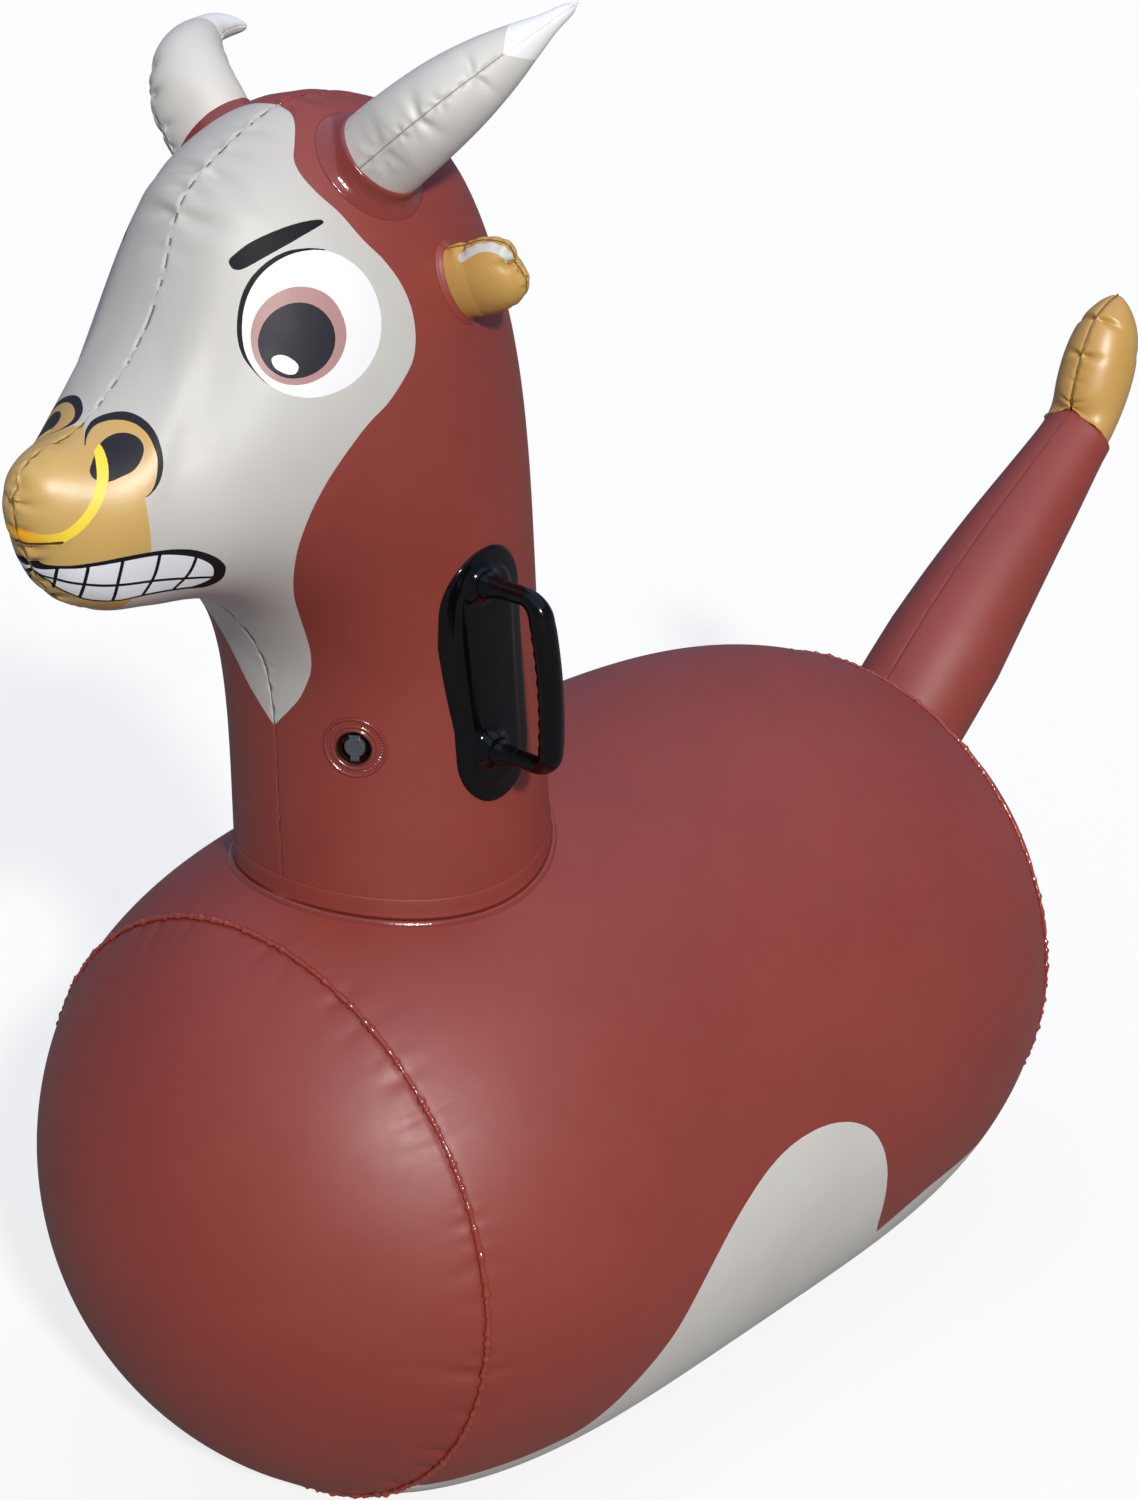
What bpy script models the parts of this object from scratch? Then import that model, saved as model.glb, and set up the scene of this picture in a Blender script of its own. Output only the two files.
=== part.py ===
# An inflatable ride-on bull: a fat barrel to sit on, a neck and head, horns, ears and a tail.
# Every skin is a thin PVC panel, welded to the next one along its edge. The bull faces -Y and
# its left side is +X. Heights inside this script are above the barrel's axis.

import math

import bmesh
import bpy
import numpy as np
from mathutils import Matrix, Vector
from mathutils.bvhtree import BVHTree

# Skin and welds, and how close two points are taken as one
SKIN = 0.0008
GAP = 0.0005
WELD_RADIUS = 0.0009
SEAM_HALF = 0.0016
SAME_POINT = 0.00005
CAST_BACK = 0.010

# Barrel
BODY_RADIUS = 0.240
BODY_SAG = 0.0055
AXIS_HEIGHT = BODY_RADIUS - BODY_SAG
BODY_SEGMENTS = 40
BARREL_STEPS = 13
CAP_STEPS = 7
CAP_SEAM_RADIUS = 0.202
CAP_SEAM_Y = 0.307
CAP_SLOPE = math.radians(58.0)
SHOULDER_POWER = 4.2
CAP_WELD_RADIUS = 0.0026
CAP_WELD_SIDES = 6

# Neck and head: front or under edge, back or top edge (y, height), and how full the panels stand
HEAD_OUTLINE = [
    ((-0.277, 0.200), (-0.076, 0.200), 1.04),
    ((-0.277, 0.250), (-0.076, 0.250), 1.04),
    ((-0.278, 0.320), (-0.084, 0.330), 1.02),
    ((-0.282, 0.364), (-0.090, 0.410), 0.99),
    ((-0.292, 0.391), (-0.094, 0.480), 0.96),
    ((-0.312, 0.417), (-0.100, 0.550), 0.93),
    ((-0.334, 0.434), (-0.117, 0.620), 0.91),
    ((-0.353, 0.441), (-0.140, 0.672), 0.90),
    ((-0.372, 0.445), (-0.180, 0.706), 0.90),
    ((-0.387, 0.446), (-0.249, 0.719), 0.90),
    ((-0.402, 0.448), (-0.308, 0.703), 0.90),
    ((-0.416, 0.450), (-0.342, 0.675), 0.90),
    ((-0.430, 0.455), (-0.356, 0.640), 0.90),
    ((-0.442, 0.462), (-0.372, 0.608), 0.88),
    ((-0.453, 0.472), (-0.397, 0.580), 0.85),
    ((-0.462, 0.484), (-0.425, 0.559), 0.82),
    ((-0.469, 0.499), (-0.452, 0.553), 0.80),
    ((-0.4735, 0.514), (-0.467, 0.545), 0.80),
    ((-0.475, 0.530), (-0.475, 0.530), 0.80),
]
HEAD_COLUMNS = 17
COLLAR_WIDTH = 0.011
COLLAR_HEIGHT = 0.014
COLLAR_EDGE = 0.0006
COLLAR_HOLLOW = 0.3
NECK_CENTRE_Y = -0.179
NECK_HOLE_RADIUS = 0.060
NECK_HOLE_SPAN = (0.15, 0.30)

# Horns, left and right: the soft pair does not stand quite alike
HORN_BASE = {"left": Vector((0.060, -0.241, 0.689)), "right": Vector((0.072, -0.241, 0.678))}
HORN_MIDDLE = {"left": Vector((0.107, -0.223, 0.7355)), "right": Vector((0.107, -0.228, 0.717))}
HORN_TIP = {"left": Vector((0.132, -0.149, 0.774)), "right": Vector((0.132, -0.160, 0.731))}
HORN_RADIUS = 0.0335
HORN_TAPER = 1.9
HORN_STEPS = (0.0, 0.12, 0.26, 0.42, 0.58, 0.74, 0.87, 0.95, 1.0)
HORN_TIP_RADIUS = 0.0035
HORN_SEAM_SIDE = Vector((0.0, -0.95, -0.30))
HORN_COLUMNS = 9
HORN_HOLE_RADIUS = 0.0135
HORN_COLLAR_RADIUS = 0.0020
AIR_HOLE_REACH = 0.030

# Ears: a small puffed lobe, its lower and upper edge along its length
EAR_BASE = Vector((0.0923, -0.2043, 0.613))
EAR_OUT = Vector((0.93, 0.24, 0.29))
EAR_UP = Vector((-0.19, -0.33, 0.93))
EAR_OUTLINE = [
    ((0.000, -0.020), (0.000, 0.020), 0.85),
    ((0.011, -0.022), (0.011, 0.023), 0.85),
    ((0.023, -0.026), (0.023, 0.027), 0.85),
    ((0.035, -0.024), (0.035, 0.024), 0.85),
    ((0.043, -0.013), (0.043, 0.013), 0.85),
    ((0.045, 0.000), (0.045, 0.000), 0.85),
]
EAR_COLUMNS = 7
EAR_HOLE_RADIUS = 0.010
EAR_COLLAR_RADIUS = 0.0016

# Tail and its tuft, on the middle plane (y, height)
TAIL_START = Vector((0.400, 0.1212))
TAIL_END = Vector((0.630, 0.309))
TAIL_RADII = (0.0570, 0.0515, 0.0455, 0.0390, 0.0325, 0.0260)
TUFT_TIP = Vector((0.669, 0.408))
TUFT_RADII = (0.0255, 0.0275, 0.0295, 0.0285, 0.0235, 0.0150, 0.0)
TUFT_STEPS = (0.0, 0.16, 0.36, 0.58, 0.78, 0.93, 1.0)
TAIL_COLUMNS = 9
TAIL_HOLE_RADIUS = 0.030
TAIL_HOLE_REACH = 0.055
TAIL_COLLAR_RADIUS = 0.0024
TAIL_WELD_SETBACK = 0.008
TUFT_JOINT = 0.0024

# Handles: a U-shaped grip on a welded patch, one on each side of the neck. The left grip stands
# straight out and the right one lies back along the neck, out of the photo's sight.
HANDLE_CENTRE = Vector((0.105, -0.203, 0.379))
HANDLE_TILT = math.radians(5.5)
PATCH_HALF_WIDTH = 0.034
PATCH_HALF_HEIGHT = 0.086
PATCH_THICKNESS = 0.0022
PATCH_GAP = 0.0010
STAND_GAP = 0.0014
LEG_SPACING = 0.113
LEG_RADIUS = 0.0058
GRIP_RADIUS = 0.0078
GRIP_WAVE = 0.0008
GRIP_WAVES = 4
LEG_BEND = 0.014
BEND_SHARES = (0.2, 0.5, 0.8)
HINGE_HEIGHT = 0.0115
GRIP_REACH = 0.037
KNUCKLE_RADIUS = 0.0070
CUP_CLEARANCE = 0.0005
BOSS_RADIUS = 0.0110
BOSS_BELOW_HINGE = 0.0042
BOSS_SINK = 0.55
RIGHT_GRIP_LEAN = math.radians(64)
PATCH_RINGS = 3
PATCH_TURNS = 28
BALL_SEGMENTS = 16
SIGHT_REACH = 0.3

# Valve on the front left of the neck, along its own outward axis
VALVE_ANGLE = math.radians(33)
VALVE_HEIGHT = 0.330
FLANGE_RADIUS = 0.0200
FLANGE_THICKNESS = 0.0012
FLANGE_RINGS = 4
RECESS_RADIUS = 0.0088
RECESS_DEPTH = 0.0125
CUP_WALL = 0.0008
CUP_LIP = 0.0010
VALVE_CLEARANCE = 0.0004
STEM_RADIUS = 0.0060
STEM_BORE = 0.0038
STEM_TOP = -0.0022
STEM_LENGTH = 0.0250
STEM_STOP_RADIUS = 0.0078
STEM_STOP_HEIGHT = 0.0016
PLUG_THICKNESS = 0.0014
PLUG_SHANK_TOP = 0.0034
PLUG_SHANK_TIP = 0.0019
PLUG_SHANK_LENGTH = 0.0050
PLUG_SHANK_DRAFT = 0.0004
PLUG_SEAT = 0.0003
STRAP_THICKNESS = 0.0010
STRAP_DEPTH = 0.00065
STRAP_HINGE = 0.0072
TAB_LENGTH = 0.0076
TAB_HALF_WIDTH = 0.0033
FLAP_RADIUS = 0.0056
FLAP_THICKNESS = 0.0008
ROUND_SEGMENTS = 24


def clear_scene():
    for thing in list(bpy.data.objects):
        bpy.data.objects.remove(thing, do_unlink=True)


clear_scene()
parts = bpy.data.collections.new("animal_hopper")
cutters = bpy.data.collections.new("animal_hopper_cutters")
bpy.context.scene.collection.children.link(parts)
bpy.context.scene.collection.children.link(cutters)


def material(name, colour, roughness, alpha=1.0):
    made = bpy.data.materials.new(name)
    made.use_nodes = True
    shader = made.node_tree.nodes["Principled BSDF"]
    shader.inputs["Base Color"].default_value = (*colour, 1.0)
    shader.inputs["Roughness"].default_value = roughness
    shader.inputs["Metallic"].default_value = 0.0
    shader.inputs["Alpha"].default_value = alpha
    made.diffuse_color = (*colour, alpha)
    return made


brown = material("brown_pvc", (0.240, 0.045, 0.030), 0.35)
grey = material("light_grey_pvc", (0.560, 0.540, 0.500), 0.35)
ochre = material("ochre_pvc", (0.620, 0.370, 0.090), 0.35)
black = material("black_moulded_pvc", (0.012, 0.012, 0.013), 0.15)
clear = material("clear_pvc", (0.700, 0.720, 0.720), 0.15, 0.6)


def empty(name, location, parent=None):
    made = bpy.data.objects.new(name, None)
    made.location = location
    made.parent = parent
    parts.objects.link(made)
    return made


axis = empty("barrel_axis", (0.0, 0.0, AXIS_HEIGHT))


def add_piece(name, mesh, finish, parent=axis, location=(0.0, 0.0, 0.0)):
    made = bpy.data.objects.new(name, mesh)
    made.location = location
    made.parent = parent
    parts.objects.link(made)
    if finish:
        mesh.materials.append(finish)
    return made


def mesh_from(shape, name, finish, parent=axis, smooth=True):
    mesh = bpy.data.meshes.new(name)
    shape.to_mesh(mesh)
    shape.free()
    if smooth:
        mesh.shade_smooth()
    return add_piece(name, mesh, finish, parent)


def thicken(piece, thickness, offset):
    wall = piece.modifiers.new("wall", "SOLIDIFY")
    wall.thickness = thickness
    wall.offset = offset


def as_cutter(piece):
    parts.objects.unlink(piece)
    cutters.objects.link(piece)
    piece.hide_render = True
    piece.display_type = "WIRE"


def combine(piece, tool, operation):
    join = piece.modifiers.new(operation.lower(), "BOOLEAN")
    join.operation = operation
    join.object = tool
    join.solver = "EXACT"
    as_cutter(tool)


def rod(name, start, end, radius):
    # A plain closed cylinder between two points
    along = Vector(end) - Vector(start)
    turn = along.to_track_quat("Z", "Y").to_matrix().to_4x4()
    place = Matrix.Translation((Vector(start) + Vector(end)) / 2) @ turn
    shape = bmesh.new()
    bmesh.ops.create_cone(shape, cap_ends=True, segments=ROUND_SEGMENTS, radius1=radius,
                          radius2=radius, depth=along.length, matrix=place)
    return mesh_from(shape, name, None, smooth=False)


def ball(name, place, radius, parent):
    shape = bmesh.new()
    bmesh.ops.create_uvsphere(shape, u_segments=BALL_SEGMENTS, v_segments=BALL_SEGMENTS // 2,
                              radius=radius, matrix=Matrix.Translation(place))
    return mesh_from(shape, name, None, parent)


def weld_line(name, points, radius, finish, closed=False):
    # A round bead of melted PVC along a line
    data = bpy.data.curves.new(name, "CURVE")
    data.dimensions = "3D"
    data.bevel_depth = radius
    data.bevel_resolution = 1
    data.use_fill_caps = not closed
    line = data.splines.new("POLY")
    line.points.add(len(points) - 1)
    for spot, place in zip(line.points, points):
        spot.co = (*place, 1.0)
    line.use_cyclic_u = closed
    return add_piece(name, data, finish)


def frozen(piece, name, finish):
    # The evaluated shape of a piece as a plain closed mesh
    bpy.context.view_layer.update()
    ready = piece.evaluated_get(bpy.context.evaluated_depsgraph_get())
    mesh = bpy.data.meshes.new_from_object(ready)
    mesh.name = name
    shape = bmesh.new()
    shape.from_mesh(mesh)
    bmesh.ops.remove_doubles(shape, verts=shape.verts, dist=SAME_POINT / 2)
    shape.to_mesh(mesh)
    shape.free()
    mesh.materials.clear()
    return add_piece(name, mesh, finish, piece.parent, piece.location)


def mirrored(piece, name, finish, parent=axis):
    # The same piece on the other side of the middle plane
    copy = frozen(piece, name, finish)
    copy.data.transform(Matrix.Scale(-1.0, 4, (1.0, 0.0, 0.0)))
    copy.data.flip_normals()
    copy.parent = parent
    copy.location = (0.0, 0.0, 0.0)
    return copy


# Barrel and end caps

def barrel_radius(y):
    return BODY_RADIUS - (BODY_RADIUS - CAP_SEAM_RADIUS) * abs(y / CAP_SEAM_Y) ** SHOULDER_POWER


def turned_skin(name, profile, finish):
    # Spins (y, radius) points round the barrel's axis, with a corner straight down
    shape = bmesh.new()
    corners = [shape.verts.new((0.0, y, -radius)) for y, radius in profile]
    edges = [shape.edges.new(pair) for pair in zip(corners, corners[1:])]
    bmesh.ops.spin(shape, geom=corners + edges, cent=(0, 0, 0), axis=(0, 1, 0),
                   angle=math.tau, steps=BODY_SEGMENTS)
    bmesh.ops.remove_doubles(shape, verts=shape.verts, dist=SAME_POINT)
    shape.normal_update()
    if sum(face.normal.dot(face.calc_center_median()) for face in shape.faces) < 0:
        bmesh.ops.reverse_faces(shape, faces=shape.faces)
    for corner in shape.verts:
        corner.co.z = max(corner.co.z, -AXIS_HEIGHT)
    bmesh.ops.triangulate(shape, faces=shape.faces, quad_method="SHORT_EDGE")
    made = mesh_from(shape, name, finish)
    thicken(made, SKIN, -1.0)
    return made


seam_room = CAP_WELD_RADIUS + GAP
barrel_steps = np.linspace(-1.0, 1.0, BARREL_STEPS)
barrel_ys = [(CAP_SEAM_Y - seam_room) * math.sin(step * math.pi / 2) for step in barrel_steps]
barrel = turned_skin("barrel_panel", [(y, barrel_radius(y)) for y in barrel_ys], brown)

# A flat disc as wide as the barrel blows up into part of a ball, which meets the barrel smoothly
ball_radius = CAP_SEAM_RADIUS / math.sin(CAP_SLOPE)
ball_y = CAP_SEAM_Y + seam_room + SKIN * math.cos(CAP_SLOPE) - ball_radius * math.cos(CAP_SLOPE)
cap_profile = []
for angle in np.linspace(CAP_SLOPE, 0.0, CAP_STEPS):
    cap_profile.append((ball_y + ball_radius * math.cos(angle), ball_radius * math.sin(angle)))
rear_cap = turned_skin("rear_cap", cap_profile, brown)
front_cap = turned_skin("front_cap", [(-y, radius) for y, radius in cap_profile], brown)

for end, side in (("front", -1), ("rear", 1)):
    bpy.ops.mesh.primitive_torus_add(
        major_radius=CAP_SEAM_RADIUS, minor_radius=CAP_WELD_RADIUS, major_segments=BODY_SEGMENTS,
        minor_segments=CAP_WELD_SIDES, rotation=(math.pi / 2, 0.0, 0.0))
    ring = bpy.context.object
    ring.name = f"{end}_cap_weld"
    ring.location = (0.0, side * CAP_SEAM_Y, 0.0)
    ring.parent = axis
    ring.data.materials.append(brown)
    ring.data.shade_smooth()
    for holder in list(ring.users_collection):
        holder.objects.unlink(ring)
    parts.objects.link(ring)

hole_ends = [(0.0, NECK_CENTRE_Y, height) for height in NECK_HOLE_SPAN]
combine(barrel, rod("neck_air_hole", *hole_ends, NECK_HOLE_RADIUS), "DIFFERENCE")


# Blown panels

def outline_grid(outline, columns):
    # Points across the flat panel, closer together near both welded edges
    spread = (1.0 - np.cos(np.linspace(0.0, np.pi, columns))) / 2.0
    first = np.array([row[0] for row in outline])[:, None, :]
    second = np.array([row[1] for row in outline])[:, None, :]
    return first * (1.0 - spread[None, :, None]) + second * spread[None, :, None]


def blown_half_width(grid, closed_tip):
    # A flat panel held at its edges and blown up: twice the membrane's height, square rooted,
    # which turns a long strip into a round tube
    rows, columns = grid.shape[:2]
    spots = grid.reshape(-1, 2)
    index = np.arange(rows * columns).reshape(rows, columns)
    near_first = index[:-1, :-1].ravel()
    far_first = index[1:, :-1].ravel()
    far_second = index[1:, 1:].ravel()
    near_second = index[:-1, 1:].ravel()
    triangles = np.concatenate([np.stack([near_first, far_first, far_second], 1),
                                np.stack([near_first, far_second, near_second], 1)])
    stiffness = np.zeros((len(spots), len(spots)))
    load = np.zeros(len(spots))
    for triangle in triangles:
        a, b, c = spots[triangle]
        area = abs((b[0] - a[0]) * (c[1] - a[1]) - (b[1] - a[1]) * (c[0] - a[0])) / 2.0
        if area < 1e-10:
            continue
        sides = np.array([c - b, a - c, b - a])
        stiffness[np.ix_(triangle, triangle)] += sides @ sides.T / (4.0 * area)
        load[triangle] += area / 3.0
    held = np.zeros((rows, columns), bool)
    held[:, 0] = held[:, -1] = True
    if closed_tip:
        held[-1] = True
    free = ~held.ravel()
    height = np.zeros(len(spots))
    height[free] = np.linalg.solve(stiffness[np.ix_(free, free)], load[free])
    return np.sqrt(2.0 * np.maximum(height, 0.0)).reshape(rows, columns)


def blown_grid(outline, columns, closed_tip):
    # Rows of (along, across, half width) points for one of a pair of panels
    grid = outline_grid(outline, columns)
    full = np.array([row[2] for row in outline])[:, None]
    half = blown_half_width(grid, closed_tip) * full + SEAM_HALF
    return np.concatenate([grid, half[:, :, None]], axis=2)


def grid_mesh(rows, outward):
    # A sheet through rows of points, its faces turned to look along outward
    shape = bmesh.new()
    bmesh.ops.create_grid(shape, x_segments=len(rows[0]) - 1, y_segments=len(rows) - 1, size=1.0)
    shape.verts.ensure_lookup_table()
    for number, place in enumerate(place for row in rows for place in row):
        shape.verts[number].co = place
    bmesh.ops.remove_doubles(shape, verts=shape.verts, dist=SAME_POINT)
    bmesh.ops.triangulate(shape, faces=shape.faces, quad_method="SHORT_EDGE")
    shape.normal_update()
    if sum(face.normal.dot(outward) * face.calc_area() for face in shape.faces) < 0:
        bmesh.ops.reverse_faces(shape, faces=shape.faces)
    return shape


def skin_panel(name, rows, outward, finish):
    made = mesh_from(grid_mesh(rows, outward), name, finish)
    thicken(made, SKIN, -1.0)
    return made


def land_on(tree, rows):
    # Ends the first row of a panel just short of the surface that it stands on
    for column, spot in enumerate(rows[0]):
        start = rows[1][column]
        way = (spot - start).normalized()
        hit = tree.ray_cast(start - way * CAST_BACK, way)[0]
        if hit is not None:
            rows[0][column] = hit - way * STAND_GAP


def collar(name, tree, edge, middle, way, radius, finish):
    # A round bead that lies on the surface, just outside a panel's landing edge
    line = []
    for spot in edge:
        out = spot - middle
        out = (out - way * out.dot(way)).normalized()
        start = spot + out * (radius + STAND_GAP) + way * 3 * CAST_BACK
        hit, normal = tree.ray_cast(start, -way)[:2]
        if hit is None:
            hit, normal = tree.find_nearest(start)[:2]
        if normal.dot(way) < 0:
            normal = -normal
        line.append(hit + normal * (radius + STAND_GAP))
    return weld_line(name, line, radius, finish, closed=True)


def tree_of(shapes):
    corners = []
    faces = []
    for shape in shapes:
        base = len(corners)
        shape.verts.index_update()
        corners.extend(corner.co.copy() for corner in shape.verts)
        faces.extend([base + corner.index for corner in face.verts] for face in shape.faces)
        shape.free()
    return BVHTree.FromPolygons(corners, faces)


# Neck and head

def head_rows(side):
    grid = blown_grid(HEAD_OUTLINE, HEAD_COLUMNS, True)
    rows = [[Vector((side * half, y, height)) for y, height, half in row] for row in grid]
    for spot in rows[0]:
        saddle = barrel_radius(spot.y) + GAP
        spot.z = math.sqrt(saddle ** 2 - spot.x ** 2)
    return rows


left = Vector((1.0, 0.0, 0.0))
head_left = skin_panel("head_panel_left", head_rows(1), left, brown)
head_tree = tree_of([grid_mesh(head_rows(1), left), grid_mesh(head_rows(-1), -left)])
crease = [(0.0, *row[0]) for row in HEAD_OUTLINE]
crease.extend((0.0, *row[1]) for row in reversed(HEAD_OUTLINE[:-1]))
for end in (0, -1):
    end_y = crease[end][1]
    crease[end] = (0.0, end_y, barrel_radius(end_y) + WELD_RADIUS + GAP)
weld_line("head_seam_weld", crease, WELD_RADIUS, brown)


def neck_collar():
    # A soft fillet between the neck's foot and the barrel
    foot = head_rows(1)[0] + head_rows(-1)[0][-1::-1]
    profile = [
        (0.0, 0.0),
        (COLLAR_WIDTH, 0.0),
        (COLLAR_WIDTH, COLLAR_EDGE),
        (COLLAR_WIDTH * COLLAR_HOLLOW, COLLAR_HEIGHT * COLLAR_HOLLOW),
        (COLLAR_EDGE, COLLAR_HEIGHT),
        (0.0, COLLAR_HEIGHT),
    ]
    shape = bmesh.new()
    loops = []
    for spot in foot:
        out = Vector((spot.x, spot.y - NECK_CENTRE_Y, 0.0)).normalized()
        inner = Vector((spot.x, spot.y, 0.0)) + out * (GAP + WELD_RADIUS)
        loop = []
        for reach, rise in profile:
            place = inner + out * reach
            floor = math.sqrt((barrel_radius(place.y) + GAP) ** 2 - place.x ** 2)
            loop.append(shape.verts.new((place.x, place.y, floor + rise)))
        loops.append(loop)
    for loop, following in zip(loops, loops[1:] + loops[:1]):
        for number in range(len(loop)):
            turn = (number + 1) % len(loop)
            shape.faces.new((loop[number], loop[turn], following[turn], following[number]))
    bmesh.ops.remove_doubles(shape, verts=shape.verts, dist=SAME_POINT)
    bmesh.ops.recalc_face_normals(shape, faces=shape.faces)
    return mesh_from(shape, "neck_collar", brown)


neck_collar()


# Horns

def horn(name, side):
    flip = Matrix.Scale(-1.0, 3, (1.0, 0.0, 0.0)) if side == "right" else Matrix.Identity(3)
    base = flip @ HORN_BASE[side]
    middle = flip @ HORN_MIDDLE[side]
    tip = flip @ HORN_TIP[side]
    along = tip - base
    length = along.length
    along.normalize()
    across = (HORN_SEAM_SIDE - along * HORN_SEAM_SIDE.dot(along)).normalized()
    up = along.cross(across)
    if up.z < 0:
        up = -up
    bow = middle - (base + tip) / 2
    outline = []
    for step in HORN_STEPS:
        radius = max(HORN_RADIUS * (1.0 - step ** HORN_TAPER), HORN_TIP_RADIUS)
        if step == 1.0:
            radius = 0.0
        centre = 4.0 * step * (1.0 - step) * bow.dot(across)
        outline.append(((step * length, centre + radius), (step * length, centre - radius), 1.0))
    grid = blown_grid(outline, HORN_COLUMNS, True)

    def rows_for(sign):
        rows = []
        for step, row in zip(HORN_STEPS, grid):
            lift = 4.0 * step * (1.0 - step) * bow.dot(up)
            rows.append([base + along * u + across * v + up * (sign * w + lift) for u, v, w in row])
        land_on(head_tree, rows)
        return rows

    upper = rows_for(1)
    lower = rows_for(-1)
    skin_panel(f"{name}_upper_panel", upper, up, grey)
    skin_panel(f"{name}_lower_panel", lower, -up, grey)
    front = [(a[0] + b[0]) / 2 for a, b in zip(upper, lower)]
    back = [(a[-1] + b[-1]) / 2 for a, b in zip(upper, lower)]
    weld_line(f"{name}_seam_weld", front + back[-2::-1], WELD_RADIUS, grey)
    edge = upper[0] + lower[0][-1::-1]
    start = (upper[1][HORN_COLUMNS // 2] + lower[1][HORN_COLUMNS // 2]) / 2
    foot = (upper[0][HORN_COLUMNS // 2] + lower[0][HORN_COLUMNS // 2]) / 2
    way = (start - foot).normalized()
    collar(f"{name}_collar", head_tree, edge, foot, way, HORN_COLLAR_RADIUS, brown)
    return foot, way


horn_foot, horn_way = horn("left_horn", "left")
horn("right_horn", "right")
horn_reach = horn_way * AIR_HOLE_REACH
combine(head_left, rod("horn_air_hole", horn_foot - horn_reach, horn_foot + horn_reach,
                       HORN_HOLE_RADIUS), "DIFFERENCE")


# Ears

def ear():
    out = EAR_OUT.normalized()
    up = (EAR_UP - out * EAR_UP.dot(out)).normalized()
    front = out.cross(up)
    grid = blown_grid(EAR_OUTLINE, EAR_COLUMNS, True)
    sheets = []
    for sign in (1, -1):
        rows = []
        for row in grid:
            rows.append([EAR_BASE + out * u + up * v + front * (sign * w) for u, v, w in row])
        land_on(head_tree, rows)
        sheets.append(rows)
    pieces = [skin_panel("left_ear_front_panel", sheets[0], front, ochre),
              skin_panel("left_ear_back_panel", sheets[1], -front, ochre)]
    lower = [(a[0] + b[0]) / 2 for a, b in zip(*sheets)]
    upper = [(a[-1] + b[-1]) / 2 for a, b in zip(*sheets)]
    pieces.append(weld_line("left_ear_seam_weld", lower + upper[-2::-1], WELD_RADIUS, ochre))
    edge = sheets[0][0] + sheets[1][0][-1::-1]
    middle = sum(edge, Vector()) / len(edge)
    pieces.append(collar("left_ear_collar", head_tree, edge, middle, out, EAR_COLLAR_RADIUS, brown))
    reach = out * AIR_HOLE_REACH
    combine(head_left, rod("ear_air_hole", middle - reach, middle + reach, EAR_HOLE_RADIUS), "DIFFERENCE")
    return pieces


for piece in ear():
    finish = piece.data.materials[0]
    mirrored(piece, piece.name.replace("left", "right"), finish)
mirrored(head_left, "head_panel_right", brown)


# Tail and tuft

def tube_outline(start, end, radii, steps):
    way = (end - start).normalized()
    side = Vector((-way.y, way.x))
    rows = []
    for radius, step in zip(radii, steps):
        centre = start.lerp(end, step)
        rows.append((tuple(centre + side * radius), tuple(centre - side * radius), 1.0))
    return rows


def standing_rows(outline, side, closed_tip):
    grid = blown_grid(outline, TAIL_COLUMNS, closed_tip)
    return [[Vector((side * half, y, height)) for y, height, half in row] for row in grid]


tail_way = (TAIL_END - TAIL_START).normalized()
cap_shape = bmesh.new()
cap_shape.from_mesh(rear_cap.data)
cap_tree = tree_of([cap_shape])
tail_outline = tube_outline(TAIL_START, TAIL_END, TAIL_RADII, np.linspace(0.0, 1.0, len(TAIL_RADII)))
tail_sheets = []
for name, side in (("tail_panel_left", 1), ("tail_panel_right", -1)):
    rows = standing_rows(tail_outline, side, False)
    land_on(cap_tree, rows)
    tail_sheets.append(rows)
    skin_panel(name, rows, left * side, brown)
for name, column in (("tail_top_weld", 0), ("tail_bottom_weld", -1)):
    line = [(a[column] + b[column]) / 2 for a, b in zip(*tail_sheets)]
    line[0] += (line[1] - line[0]).normalized() * TAIL_WELD_SETBACK
    line[-1] += (line[-2] - line[-1]).normalized() * TUFT_JOINT
    weld_line(name, line, WELD_RADIUS, brown)
tail_edge = tail_sheets[0][0] + tail_sheets[1][0][-1::-1]
tail_foot = Vector((0.0, *TAIL_START))
tail_axis = Vector((0.0, *tail_way))
collar("tail_collar", cap_tree, tail_edge, tail_foot, tail_axis, TAIL_COLLAR_RADIUS, brown)
tail_reach = tail_axis * TAIL_HOLE_REACH
combine(rear_cap, rod("tail_air_hole", tail_foot - tail_reach, tail_foot + tail_reach,
                      TAIL_HOLE_RADIUS), "DIFFERENCE")

tuft_start = TAIL_END + tail_way * 2 * TUFT_JOINT
tuft_outline = tube_outline(tuft_start, TUFT_TIP, TUFT_RADII, TUFT_STEPS)
tuft_tilt = tube_outline(tuft_start, tuft_start + tail_way, TUFT_RADII[:1], (0.0,))
tuft_outline[0] = tuft_tilt[0]
tuft_sheets = []
for name, side in (("tuft_panel_left", 1), ("tuft_panel_right", -1)):
    rows = standing_rows(tuft_outline, side, True)
    tuft_sheets.append(rows)
    skin_panel(name, rows, left * side, ochre)
tuft_top = [(a[0] + b[0]) / 2 for a, b in zip(*tuft_sheets)]
tuft_bottom = [(a[-1] + b[-1]) / 2 for a, b in zip(*tuft_sheets)]
weld_line("tuft_seam_weld", tuft_top + tuft_bottom[-2::-1], WELD_RADIUS, ochre)
joint_spot = Vector((0.0, *(TAIL_END + tail_way * TUFT_JOINT)))
joint_side = Vector((0.0, -tail_way.y, tail_way.x))
joint_radius = TUFT_RADII[0] + SEAM_HALF
joint_line = []
for angle in np.linspace(0.0, math.tau, ROUND_SEGMENTS, endpoint=False):
    joint_line.append(joint_spot + joint_radius * (joint_side * math.cos(angle) + left * math.sin(angle)))
weld_line("tuft_joint_weld", joint_line, WELD_RADIUS, ochre, closed=True)


# Handles

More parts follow.
